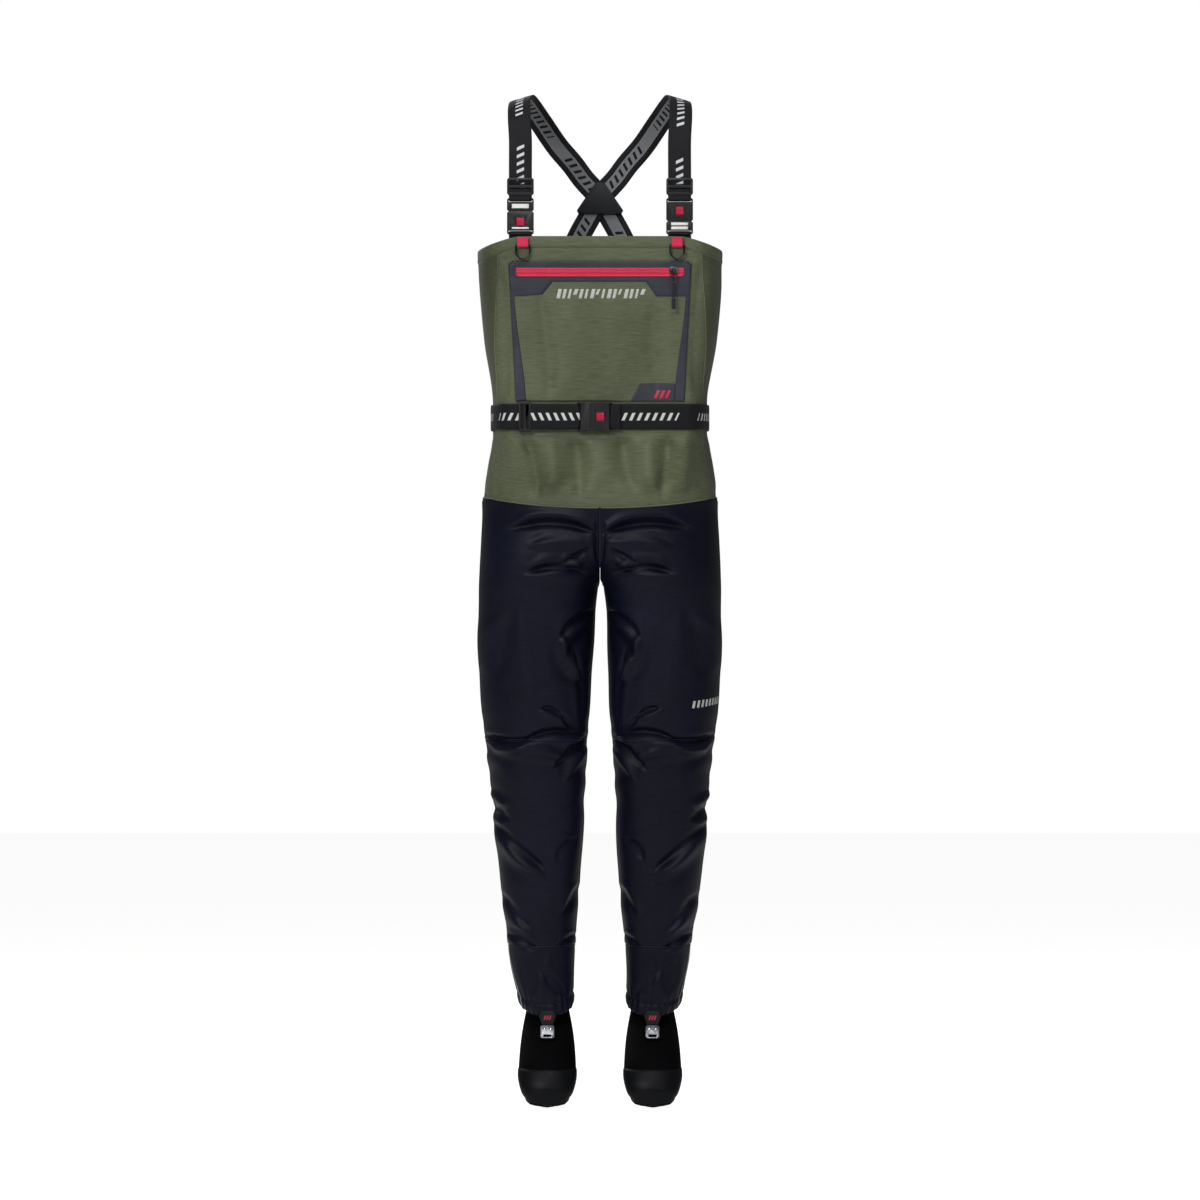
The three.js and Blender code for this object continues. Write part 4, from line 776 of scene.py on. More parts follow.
LEG_FRONT = [  # start, end, bow, width, depth: measured outwards from the middle of the body
    ((8, -722), (146, -714), 14, 9, -9.0), ((14, -738), (112, -742), 4, 9, 3.4),
    ((18, -748), (62, -771), -2, 5, -4.6), ((24, -764), (120, -792), -6, 9, 3.0),
    ((27, -786), (118, -786), 6, 8, -7.4), ((4, -700), (4, -768), 0, 5, -2.6),
    ((14, -850), (66, -894), 3, 8, -5.0), ((64, -892), (28, -968), 6, 9, 4.6),
    ((40, -920), (30, -1038), -6, 6, -5.0), ((20, -880), (60, -930), 0, 10, -3.4),
    ((98, -1010), (62, -1024), -4, 5, -5.0), ((62, -1022), (30, -1048), 4, 5, -4.4),
    ((190, -1056), (118, -1062), 8, 7, -6.6), ((122, -1062), (28, -1056), -9, 7, -7.6),
    ((170, -1078), (60, -1092), -6, 12, 5.6), ((24, -1060), (74, -1110), 0, 6, -5.0),
    ((20, -1076), (58, -1128), 2, 7, 3.4), ((186, -1150), (150, -1172), 2, 8, 3.6),
    ((178, -1176), (150, -1196), 0, 7, -3.6), ((172, -1204), (92, -1276), 5, 8, -6.0),
    ((160, -1222), (92, -1296), 4, 10, 4.2), ((160, -1320), (118, -1374), 3, 7, -4.6),
    ((150, -1336), (112, -1392), 2, 8, 3.2), ((34, -1306), (58, -1352), -2, 7, -3.4),
    ((40, -1226), (72, -1262), 3, 9, -3.0), ((152, -860), (170, -960), 0, 16, -3.0),
    ((130, -850), (112, -1000), 6, 20, 2.6), ((150, -1386), (104, -1412), 0, 5, -3.4),
    ((40, -1386), (64, -1403), 0, 5, -3.0), ((98, -1440), (56, -1488), 3, 7, -3.6),
    ((128, -1430), (112, -1484), 2, 6, -3.0), ((84, -1424), (112, -1500), -3, 9, 2.4),
]
LEG_BACK = [
    ((10, -724), (150, -740), 16, 10, -8.0), ((20, -770), (130, -800), -8, 10, -6.0),
    ((24, -800), (110, -850), -8, 12, 4.0), ((180, -1010), (40, -1030), -8, 8, -6.0),
    ((184, -1050), (34, -1064), 10, 8, -8.0), ((180, -1084), (36, -1096), -8, 9, -6.6),
    ((170, -1112), (60, -1150), 4, 9, -4.4), ((160, -1200), (60, -1250), 6, 10, -5.0),
    ((40, -1280), (120, -1330), -4, 9, -4.4), ((150, -1370), (70, -1400), 3, 7, -4.0),
    ((60, -880), (150, -980), 6, 18, -3.4), ((100, -1430), (70, -1490), 2, 7, -3.0),
]


def leg_drape(angle, z, seed):
    """How far the cloth stands off the bare leg: front and back creases, sideways rolls round the knee and
    shin, and uneven waves. It lies flat at the hip seam and the knee, shin and guard seams dip a little."""
    x = leg_point(angle, z)[..., 0]
    facing = np.cos(np.radians(angle))
    front = smooth(facing, -0.35, 0.25)
    folds = front * creases(x, z, LEG_FRONT) + (1 - front) * creases(x, z, LEG_BACK)
    side = np.abs(np.sin(np.radians(angle))) ** 3
    rolls = side * (0.8 * np.sin(z / 9.0 + np.cos(z / 41.0) * 2 + seed) * smooth(-z, 1010, 1050)
                    * smooth(1250 + z, 0, 90) + 0.5 * np.sin(z / 17.0 + seed) * smooth(-z, 780, 830))
    waves = ripple(angle, z, seed, 70, 1.3)
    seams = sum(-0.8 * np.exp(-((z - height) / 5.0) ** 2) for height in (KNEE, SHIN))
    settled = smooth(hip_height(np.clip(angle, 0, 180)) - z, 0, 24) * smooth(z - GUARD_HEM, 4, 30)
    return (1.45 * folds + rolls + waves) * settled + seams * smooth(hip_height(0) - z, 0, 60)


navy = laminate("navy_laminated_nylon", "#080a16", "#0c0e1e", "#131629", 0.46, 0.45, 0.0, 0.16)
SIDES = (("left", 1), ("right", -1))
SEEDS = {1: 11, -1: 23}
LEG_CLOTH = 190


def across_body(points, way):
    """Points of the left leg or foot, kept clear of the plane between the legs, or their mirror image."""
    clear = points.copy()
    clear[..., 0] = np.maximum(clear[..., 0], SEAM_GAP) * way
    return clear


def on_leg(angle, z, seed, way, stand=0.0, drape=leg_drape):
    """Points on a leg's draped cloth, standing off it by a distance, on the left or the right leg."""
    return across_body(lifted(leg_point, angle, z, drape(angle, z, seed) + stand), way)


def leg_panel(name, way, front, top, foot, columns, rows, *nodes):
    """A leg panel between the inseam and the outer seam, in front or behind, down from one seam to the
    next. The right leg is the mirror image, with its own unevenness."""
    across, up = np.meshgrid(np.linspace(0, 1, columns), np.linspace(0, 1, rows))
    z = mix(foot, float(np.mean(top(np.array([0.0, 90.0])))), up)
    for _ in range(5):
        inner = inner_angle(z)
        angle = mix(inner + 0.1, 90 - 0.1, across) if front else mix(90 + 0.1, 180 - inner - 0.1, across)
        z = mix(foot + 0.2, top(angle) - 0.2, up)
    points = on_leg(angle, z, SEEDS[way], way)
    panel = grid_object(name, points, ((across - 0.5) * LEG_CLOTH, z), flip=way < 0)
    walled(panel, CLOTH)
    return fitted(panel, navy, "garment", "navy_fabric", *nodes)


def level_seam(height):
    """A seam that runs level round the leg."""
    return lambda angle: np.full(np.shape(angle), float(height))


for side, way in SIDES:
    leg_panel(f"thigh_cloth_front_{side}", way, True, hip_height, KNEE, 110, 180, f"thigh_front_{side}")
    leg_panel(f"thigh_cloth_back_{side}", way, False, hip_height, KNEE, 90, 150, f"thigh_back_{side}")
    leg_panel(f"shin_cloth_front_{side}", way, True, level_seam(KNEE), SHIN, 96, 170, f"shin_front_{side}")
    leg_panel(f"calf_cloth_back_{side}", way, False, level_seam(KNEE), SHIN, 80, 130, f"calf_back_{side}")

# ---- Leg seams and gravel guards
# The panels meet in taped seams that stand as fine ridges. Below the shin seam an outer guard falls over the
# boot: a plain navy tube with a piped outer seam and an elastic hem that gathers the cloth in small puckers.
# The raised seams are real geometry; their navy, lighter than the cloth, is a painted highlight along each
# ridge.
navy_seam_painted_highlight = laminate("navy_seam_ridge_painted_highlight", "#0c0f1d", "#171a30", "#22253e", 0.46, 0.3, 0.0, 0.22)
piping = laminate("grey_reflective_piping", "#5d6066", "#7d8087", "#9a9da3", 0.4, 0.3)
GUARD_TILT, GUARD_STEP = 18, 1.25


def guard_foot(angle):
    """Height of the guard's hem: lower in front than behind."""
    return GUARD_HEM + GUARD_TILT - GUARD_TILT * np.cos(np.radians(angle))


def guard_drape(angle, z, seed):
    """The guard's folds, with an elastic casing at the hem that gathers it into upright puckers."""
    above = z - guard_foot(angle)
    gather = np.sin(np.radians(angle) * 23 + np.sin(np.radians(angle) * 5 + seed) * 1.4)
    puckers = 1.5 * (gather * 0.5 + 0.5) * smooth(52 - above, 0, 34)
    casing = 1.3 * np.exp(-((above - 9) / 7.5) ** 4) - 1.0 * np.exp(-((above - 21) / 4.0) ** 2)
    soft = np.maximum(leg_drape(angle, z, seed) * 0.75, -1.4)
    return soft * smooth(above, 18, 50) + puckers + casing


for side, way in SIDES:
    seed = SEEDS[way]
    around, up = np.meshgrid(np.linspace(0, 360, 221)[:-1] - 90, np.linspace(0, 1, 70))
    z = mix(guard_foot(around), SHIN - 0.2, up)
    points = on_leg(around, z, seed, way, drape=guard_drape)
    guard = grid_object(f"gravel_guard_cloth_{side}", points,
                        (np.arange(221)[None, :] * GUARD_STEP, z[:, :1]), ring=True, flip=way < 0)
    walled(guard, CLOTH)
    fitted(guard, navy, "garment", "navy_fabric", f"gravel_guard_{side}")

    fall = np.linspace(SHIN + 2, GUARD_HEM + 14, 60)
    slant = mix(76, 60, (SHIN - fall) / (SHIN - GUARD_HEM))
    line = on_leg(slant, fall, seed, way, 0.5, guard_drape)
    ridge(f"guard_piping_{side}", line, 1.1, piping, "garment", "navy_fabric")

    turns = np.linspace(-88, 268, 200)
    for seam, height in (("knee", KNEE), ("shin", SHIN)):
        level = np.full(turns.shape, float(height))
        line = on_leg(turns, level, seed, way, 0.15)
        ridge(f"{seam}_seam_{side}", line, 1.0, navy_seam_painted_highlight, "garment", "navy_fabric")
        for row, aside in (("above", 4.0), ("below", -4.0)):
            line = on_leg(turns, level + aside, seed, way, 0.1)
            thread_row(f"{seam}_stitch_{row}_{side}", line, 3.4, 2.5, 0.26, dark_thread, "garment",
                       "navy_fabric")

    fall = np.linspace(HIP_SIDE - 4, SHIN + 2, 260)
    outer = np.full(fall.shape, 90.0)
    ridge(f"outseam_{side}", on_leg(outer, fall, seed, way, 0.2), 1.0, navy_seam_painted_highlight, "garment", "navy_fabric")
    fall = np.linspace(CROTCH - 30, SHIN + 2, 240)
    ridge(f"inseam_{side}", on_leg(inner_angle(fall), fall, seed, way, 0.1), 0.9, navy_seam_painted_highlight, "garment",
          "navy_fabric")
    hem_turns = np.linspace(-90, 270, 240)
    hem_line = guard_foot(hem_turns) + 17
    line = on_leg(hem_turns, hem_line, seed, way, 0.1, guard_drape)
    thread_row(f"guard_stitch_{side}", line, 3.2, 2.3, 0.28, dark_thread, "garment", "navy_fabric")

turns = np.linspace(0, 360, 500)
level = hip_height(turns)
line = lifted(trunk_point, turns, level, np.full(turns.shape, 0.3))
ridge("hip_seam", line, 1.3, olive_ridge, "garment", "olive_fabric")
thread_row("hip_stitch", on_trunk(turns, level + 6, 0.1), 3.4, 2.5, 0.28, olive_thread, "garment",
           "olive_fabric")

rise = np.linspace(HIP_CENTRE - 1, CROTCH - 4, 60)
for name, angle in (("front", 0.0), ("back", 180.0)):
    edge = inner_angle(rise) if angle == 0 else 180 - inner_angle(rise)
    line = lifted(leg_point, edge, rise, leg_drape(edge, rise, SEEDS[1]) - 0.6)
    line[:, 0] = 0
    ridge(f"centre_seam_{name}", line, 2.0, navy_seam_painted_highlight, "garment", "navy_fabric")

# ---- Stocking feet
# Booties of 4.5 mm neoprene foam faced with nylon jersey, sewn to the legs inside the guards. A smooth rubber
# cap is bonded over the toes and a thin rubber sole under the foot.
FOOT_TILT, ANKLE = 30, (87, 6, -1500)
HEEL, TOE, SOLE_LOW, BOOT_TOP = 62, 188, -85, -1430
foot = profile([  # distance behind the ankle, half width, height of the top
    [HEEL, 0, -56], [56, 20, -26], [40, 31, 8], [4, 37, 23], [-38, 44, -6], [-88, 47, -19], [-128, 48, -28],
    [-162, 43, -42], [-180, 31, -54], [-TOE, 0, -68],
])


def placed(points, way):
    """A foot drawn level round its ankle, tipped toes down and set under the left or the right leg."""
    lean = np.radians(FOOT_TILT)
    x, y, z = points[..., 0], points[..., 1], points[..., 2]
    tipped = [x + ANKLE[0], y * np.cos(lean) - z * np.sin(lean) + ANKLE[1],
              y * np.sin(lean) + z * np.cos(lean) + ANKLE[2]]
    return across_body(np.stack(tipped, -1), way)


def foot_skin(y, turn, proud=0.0):
    """The level foot: an oval section at each distance y, cut flat under the sole."""
    half, top = foot(y, 1) + proud, foot(y, 2) + proud
    low = SOLE_LOW - 6
    lift = (top - low) / 2
    z = (top + low) / 2 + lift * np.sin(turn)
    x = half * np.cos(turn)
    return np.stack([x, np.broadcast_to(y, x.shape), np.maximum(z, SOLE_LOW - proud * 0.3)], -1)


def closed_ends(grid, first=True):
    """A grid of rings with its last ring, and unless told otherwise its first, closed to a point."""
    poles = [np.repeat(row.mean(axis=1, keepdims=True), grid.shape[1], axis=1)
             for row in (grid[:1], grid[-1:])]
    return np.concatenate([poles[0]] * first + [grid, poles[1]])


def foam(name, deep, pale):
    """Neoprene faced with nylon jersey: a dull knit, 1 mm loops drawn 1.8 mm wide, with a low soft sheen."""
    material, tree, shader = plain_finish(name, 0.78, 0.06)
    place = node(tree, "ShaderNodeTexCoord")
    loops = node(tree, "ShaderNodeTexVoronoi", {"Scale": 1 / (1.8 * MM)}, {"Vector": (place, "Object")})
    cloud = node(tree, "ShaderNodeTexNoise", {"Scale": 22.0, "Detail": 4.0}, {"Vector": (place, "Object")})
    shade = node(tree, "ShaderNodeMix", {"data_type": "RGBA", 6: linear(deep), 7: linear(pale)},
                 {0: (cloud, "Fac")})
    tree.links.new(shade.outputs[2], shader.inputs["Base Color"])
    relief = node(tree, "ShaderNodeBump", {"Strength": 0.25, "Distance": 0.0003},
                  {"Height": (loops, "Distance")})
    tree.links.new(relief.outputs["Normal"], shader.inputs["Normal"])
    return material


neoprene = foam("jersey_faced_neoprene", "#020203", "#060609")
toe_rubber = moulded("smooth_toe_rubber", "#090a0e", "#0f1014", 0.45, 1400.0, 0.05, 0.14)
sole_rubber = moulded("ribbed_sole_rubber", "#050507", "#0b0b0e", 0.66, 600.0, 0.2, 0.12)

for side, way in SIDES:
    share, turn = turns_of(np.linspace(0.02, np.pi - 0.02, 90), 72)
    y = mix(HEEL - 0.3, 0.3 - TOE, (1 - np.cos(share)) / 2)
    base = closed_ends(placed(foot_skin(y, turn), way))
    fall, about = turns_of(np.linspace(BOOT_TOP, -1526, 40), 72)
    centre, half, depth, middle = leg_oval(np.maximum(fall, GUARD_HEM))
    slim = 4.6 + 4 * smooth(-fall, 1496, 1526)
    shaft = np.stack([centre + (half - slim) * np.cos(about),
                      middle + 6 * smooth(-fall, 1496, 1526) + (depth - slim) * np.sin(about), fall], -1)
    shaft = across_body(closed_ends(shaft), way)
    foot_part = grid_object(f"boot_foot_{side}", base, (np.arange(73)[None, :], 0.0), ring=True)
    shaft_part = grid_object(f"boot_shaft_{side}", shaft, (np.arange(73)[None, :], 0.0), ring=True)
    whole = bmesh.new()
    for part in (foot_part, shaft_part):
        whole.from_mesh(part.data)
        bpy.data.objects.remove(part)
    bmesh.ops.remove_doubles(whole, verts=whole.verts, dist=1e-6)
    bmesh.ops.recalc_face_normals(whole, faces=whole.faces)
    boot_mesh = bpy.data.meshes.new(f"bootie_{side}")
    whole.to_mesh(boot_mesh)
    whole.free()
    boot = bpy.data.objects.new(f"bootie_neoprene_{side}", boot_mesh)
    bpy.context.collection.objects.link(boot)
    welded = boot.modifiers.new("joined", "REMESH")
    welded.mode = "VOXEL"
    welded.voxel_size = 2.4 * MM
    welded.use_smooth_shade = True
    eased = boot.modifiers.new("eased", "SMOOTH")
    eased.iterations = 9
    fitted(boot, neoprene, "garment", "neoprene", f"bootie_upper_{side}")

    share, turn = turns_of(np.linspace(0, 1, 46), 96)
    line = -149 + 40 * (1 - np.clip(np.sin(turn), 0, 1)) ** 1.3
    y = mix(line, 0.2 - TOE, np.sin(share * np.pi / 2))
    proud = 1.3 * smooth(share, -0.01, 0.07)
    cap_points = placed(closed_ends(foot_skin(y, turn, proud - 0.3), first=False), way)
    cap = grid_object(f"toe_cap_rubber_{side}", cap_points, (np.arange(97)[None, :], 0.0), ring=True,
                      flip=way < 0)
    fitted(cap, toe_rubber, "garment", "black_rubber", f"bootie_toe_cap_{side}")

    share, turn = turns_of(np.linspace(0, np.pi, 120), 40)
    y = mix(HEEL - 1.0, 1.0 - TOE, (1 - np.cos(share)) / 2)
    half, top = foot(y, 1), foot(y, 2)
    lift = (top - SOLE_LOW + 6) / 2
    reach = (-80 - (top + SOLE_LOW - 6) / 2) / lift
    wide = half * np.sqrt(np.clip(1 - reach ** 2, 0.0, 1)) * smooth(np.sin(share), -0.02, 0.1) + 1.2
    x = wide * power(np.cos(turn), 0.35)
    z = SOLE_LOW + 3.4 + 3.9 * power(np.sin(turn), 0.5) + 0.25 * np.sin(y * 2.1) * (np.sin(turn) < 0)
    sole = grid_object(f"sole_rubber_{side}", placed(np.stack([x, y, z], -1), way),
                       (x[:, :1] + y[:, :1], y[:, :1]), ring=True, flip=way < 0)
    fitted(sole, sole_rubber, "garment", "black_rubber", f"bootie_sole_{side}")

# ---- Guard badges and lace hooks
# A six-sided rubber badge with a raised rim and three small red bars is sewn to the front of each guard hem.
# Under it hangs a flat metal hook for the boot lace, fixed to its tab by two domed steel rivets.
badge_rubber = moulded("black_badge_rubber", "#141519", "#1e2026", 0.52, 1100.0, 0.08, 0.3)
hook_steel = plated("brushed_hook_steel", "#6d6e73", "#8f9096", 0.33)
rivet_steel = plated("polished_rivet_steel", "#b9babf", "#d8d9dd", 0.22)
print_red = moulded("red_printed_mark", "#b8203c", "#c93550", 0.5)
HOOK_LEAN, HOOK_Y, HOOK_Z = 42, -46.11, -1536.5


def strokes(name, corners, place, thick, material, body, slot):
    """Flat printed or moulded strokes. Each is a four-cornered outline given in the plane, filled with a
    small grid and laid on the surface that place describes."""
    pieces = np.array(corners, float)
    s, t = np.meshgrid(np.linspace(0, 1, 7), np.linspace(0, 1, 7))
    a, b, c, d = [pieces[:, k, None, None, :] for k in range(4)]
    s, t = s[None, :, :, None], t[None, :, :, None]
    flat = mix(mix(a, b, s), mix(d, c, s), t)
    laid = place(flat[..., 0], flat[..., 1])
    count, rows, columns = laid.shape[:3]
    cell = np.arange(rows * columns).reshape(rows, columns)
    quads = np.stack([cell[:-1, :-1], cell[:-1, 1:], cell[1:, 1:], cell[1:, :-1]], -1).reshape(-1, 4)
    faces = (np.arange(count)[:, None, None] * rows * columns + quads[None]).reshape(-1, 4)
    return fitted(walled(mesh_object(name, laid, faces), thick), material, body, slot)


def on_face(x, y, z):
    """The upright plane through a point, seen from the front."""
    return lambda a, b: np.stack([x + a, np.full_like(a, y), z + b], -1)


def traced(corners, x, y, z, count):
    """A line of count points through corners drawn on the upright plane through a point."""
    corners = np.array(corners, float)
    steps = np.linspace(0, len(corners) - 1, count)
    across, up = [np.interp(steps, np.arange(len(corners)), corners[:, k]) for k in range(2)]
    return np.stack([x + across, np.full(count, y), z + up], -1)


def dome(name, centre, normal, radius, rise, material, body, slot):
    """A domed rivet head: a flattened half circle spun about its own axis, with a small flat skirt."""
    axis = unit(np.array(normal, float))
    side = unit(np.cross(axis, [1.0, 0.0, 0.0]))
    up = np.cross(axis, side)
    share, turn = turns_of(np.linspace(0, 1, 12), 28)
    out = radius * np.cos(share * np.pi / 2) + 0.001
    high = rise * np.sin(share * np.pi / 2) ** 0.8
    spoke = np.cos(turn)[..., None] * side + np.sin(turn)[..., None] * up
    points = np.array(centre) + out[..., None] * spoke + high[..., None] * axis
    head = grid_object(name, points, (np.arange(29)[None, :], 0.0), ring=True)
    return fitted(head, material, body, slot)


for side, way in SIDES:
    rounded(f"badge_moulded_{side}", f"badge_tab_{side}", 0.7, badge_rubber, "garment", "black_rubber", 3)
    low, high = box_mm(f"badge_tab_{side}")
    centre_x, centre_z, face_y = (low[0] + high[0]) / 2, (low[2] + high[2]) / 2, low[1]
    rim = [(-11.5, 1.5), (-7.5, -8.5), (7.5, -8.5), (11.5, 1.5), (7.5, 8.5), (-7.5, 8.5), (-11.5, 1.5)]
    ridge(f"badge_rim_{side}", traced(rim, centre_x, face_y - 0.1, centre_z, 97), 0.6, badge_rubber,
          "garment", "black_rubber")
    badge_bars = [[(a, 3.6), (a + 2.8, 3.6), (a + 0.2, -3.6), (a - 2.6, -3.6)] for a in (-4.4, -0.1, 4.2)]
    strokes(f"badge_mark_{side}", badge_bars, on_face(centre_x, face_y - 0.25, centre_z), 0.3, print_red,
            "garment", "red_plastic")
    rounded(f"lace_hook_steel_{side}", f"lace_hook_{side}", 0.5, hook_steel, f"lace_hook_{side}",
            "dark_metal", 3)
    lean = np.radians(HOOK_LEAN)
    hook_low, hook_high = box_mm(f"lace_hook_{side}")
    down = np.array([0, -np.sin(lean), -np.cos(lean)])
    outward = np.array([0, -np.cos(lean), np.sin(lean)])
    pivot = np.array([(hook_low[0] + hook_high[0]) / 2, HOOK_Y, HOOK_Z])
    for place, aside in (("inner", -5.2), ("outer", 5.2)):
        centre = pivot + down * 8 + outward * 1.15 + np.array([aside, 0, 0])
        dome(f"hook_rivet_{side}_{place}", centre, outward, 2.7, 1.3, rivet_steel, f"lace_hook_{side}",
             "dark_metal")

# ---- Shoulder straps
# Elastic webbing 38 mm wide, black with bound edges: a woven pale band runs along the inner face and plain
# slanted bars are printed along both. Each strap goes over a shoulder, crosses behind and is sewn on there.
STRAP_WIDTH, WEB = 38, 1.8
INNER_SHIFT, BAR_STEP, BAR_WIDE, BAR_SLANT = 200, 12.5, 5.2, 0.45
STRAP_X, STRAP_Y, STRAP_FOOT = 131, -120.7, -147.5
CROSS_Z, BACK_DEPTH, CROSS_LIFT = -157, 120, 1.2
ANCHOR_X, ANCHOR_Y = 86, 119.95


def through(points, count):
    """A smooth curve through points: a centripetal Catmull-Rom spline with an equal share of steps for
    each span."""
    p = np.array(points, float)
    knots = np.concatenate([[0], np.cumsum(np.linalg.norm(np.diff(p, axis=0), axis=1) ** 0.5 + 1e-9)])
    spans = np.diff(knots)[:, None]
    slopes = np.diff(p, axis=0) / spans
    middle = (slopes[:-1] * spans[1:] + slopes[1:] * spans[:-1]) / (spans[:-1] + spans[1:])
    tangents = np.vstack([slopes[:1], middle, slopes[-1:]])
    s = np.linspace(0, len(p) - 1, count)
    i = np.minimum(s.astype(int), len(p) - 2)
    t = (s - i)[:, None]
    m, n = tangents[i] * spans[i], tangents[i + 1] * spans[i]
    a, b = p[i], p[i + 1]
    return a + t * (m + t * (3 * (b - a) - 2 * m - n + t * (2 * (a - b) + m + n)))


def woven_strap(name, centres, faces, width, thick, material, body, slot, *nodes, start=0.0):
    """Flat webbing along a path: a thin section with rounded edges, set across the way it faces. The UV map
    holds the distance across, with INNER_SHIFT added on the inner face, and the distance along."""
    ways = unit(np.gradient(centres, axis=0))
    across = unit(np.cross(unit(faces), ways))
    outward = np.cross(ways, across)
    ramp = np.linspace(-1, 1, 13)
    bow = 1 - 0.55 * np.abs(ramp) ** 10
    reach = np.concatenate([ramp, ramp[::-1]]) * width / 2
    stand = np.concatenate([bow, -bow[::-1]]) * thick / 2
    tip = centres[:, None] + across[:, None] * reach[None, :, None]
    grid = tip + outward[:, None] * stand[None, :, None]
    grid = np.concatenate([tip[:1], grid, tip[-1:]])
    walked = distances(centres) + start
    walked = np.concatenate([walked[:1], walked, walked[-1:]])
    place = np.concatenate([reach[:13], reach[13:] + INNER_SHIFT, reach[:1]])
    strap = grid_object(name, grid, (place[None, :], walked[:, None]), ring=True, flip=True)
    return fitted(strap, material, body, slot, *nodes)


def webbing(name, ground, tint, band, outer_bars, inner_bars, half_band, bar_half, group=(145, 100)):
    """Woven polyester webbing: fine cross ribs, 1.2 mm apart drawn 2 mm, dull with a slight sheen. Colours
    in order: ground and its tint, the woven band on the inner face, and the bars on the outer and inner
    faces. Bars are slanted, in groups that start every group[0] mm and are group[1] mm long."""
    material, tree, shader = plain_finish(name, 0.72, 0.2, 0.03)
    cut = node(tree, "ShaderNodeUVMap", {"uv_map": "cut"})
    parts = node(tree, "ShaderNodeSeparateXYZ", {}, {0: (cut, "UV")})
    inner = node(tree, "ShaderNodeMath", {"operation": "GREATER_THAN", 1: INNER_SHIFT / 2 * MM},
                 {0: (parts, 0)})
    across = node(tree, "ShaderNodeMath", {"operation": "MULTIPLY_ADD", 1: -INNER_SHIFT * MM},
                  {0: (inner, 0), 2: (parts, 0)})
    wide = node(tree, "ShaderNodeMath", {"operation": "ABSOLUTE"}, {0: (across, 0)})
    near = node(tree, "ShaderNodeMath", {"operation": "LESS_THAN", 1: half_band * MM}, {0: (wide, 0)})
    in_band = node(tree, "ShaderNodeMath", {"operation": "MULTIPLY"}, {0: (near, 0), 1: (inner, 0)})
    skew = node(tree, "ShaderNodeMath", {"operation": "MULTIPLY_ADD", 1: BAR_SLANT},
                {0: (across, 0), 2: (parts, 1)})
    word = node(tree, "ShaderNodeMath", {"operation": "FLOORED_MODULO", 1: group[0] * MM}, {0: (skew, 0)})
    in_group = node(tree, "ShaderNodeMath", {"operation": "LESS_THAN", 1: group[1] * MM}, {0: (word, 0)})
    beat = node(tree, "ShaderNodeMath", {"operation": "FLOORED_MODULO", 1: BAR_STEP * MM}, {0: (skew, 0)})
    fast = node(tree, "ShaderNodeMath", {"operation": "LESS_THAN", 1: BAR_WIDE * MM}, {0: (beat, 0)})
    tall = node(tree, "ShaderNodeMath", {"operation": "LESS_THAN", 1: bar_half * MM}, {0: (wide, 0)})
    lit = node(tree, "ShaderNodeMath", {"operation": "MULTIPLY"}, {0: (fast, 0), 1: (in_group, 0)})
    bars = node(tree, "ShaderNodeMath", {"operation": "MULTIPLY"}, {0: (lit, 0), 1: (tall, 0)})
    place = node(tree, "ShaderNodeTexCoord")
    cloud = node(tree, "ShaderNodeTexNoise", {"Scale": 35.0, "Detail": 5.0}, {"Vector": (place, "Object")})
    body = node(tree, "ShaderNodeMix", {"data_type": "RGBA", 6: linear(ground), 7: linear(tint)},
                {0: (cloud, "Fac")})
    with_band = node(tree, "ShaderNodeMix", {"data_type": "RGBA", 7: linear(band)},
                     {0: (in_band, 0), 6: (body, 2)})
    ink = node(tree, "ShaderNodeMix", {"data_type": "RGBA", 6: linear(outer_bars), 7: linear(inner_bars)},
               {0: (inner, 0)})
    printed = node(tree, "ShaderNodeMix", {"data_type": "RGBA"},
                   {0: (bars, 0), 6: (with_band, 2), 7: (ink, 2)})
    tree.links.new(printed.outputs[2], shader.inputs["Base Color"])
    ribs = node(tree, "ShaderNodeTexWave", {"bands_direction": "Y", "Scale": bands(2.0)},
                {"Vector": (cut, "UV")})
    wales = node(tree, "ShaderNodeTexWave", {"bands_direction": "X", "Scale": bands(3.2)},
                 {"Vector": (cut, "UV")})
    weave = node(tree, "ShaderNodeMath", {"operation": "MULTIPLY"}, {0: (ribs, "Fac"), 1: (wales, "Fac")})
    relief = node(tree, "ShaderNodeBump", {"Strength": 0.4, "Distance": 0.0004}, {"Height": (weave, 0)})
    tree.links.new(relief.outputs["Normal"], shader.inputs["Normal"])
    return material


strap_web = webbing("black_elastic_webbing", "#151518", "#1f1f23", "#808185", "#d2d3d5", "#121215", 9.6, 6.0)
plain_web = webbing("black_plain_webbing", "#141417", "#1e1e22", "#1f1f24", "#1f1f24", "#1f1f24", 0.0, 0.0)
red_web = webbing("red_nylon_webbing", "#c92a4d", "#e0375c", "#c92a4d", "#c92a4d", "#c92a4d", 0.0, 0.0)


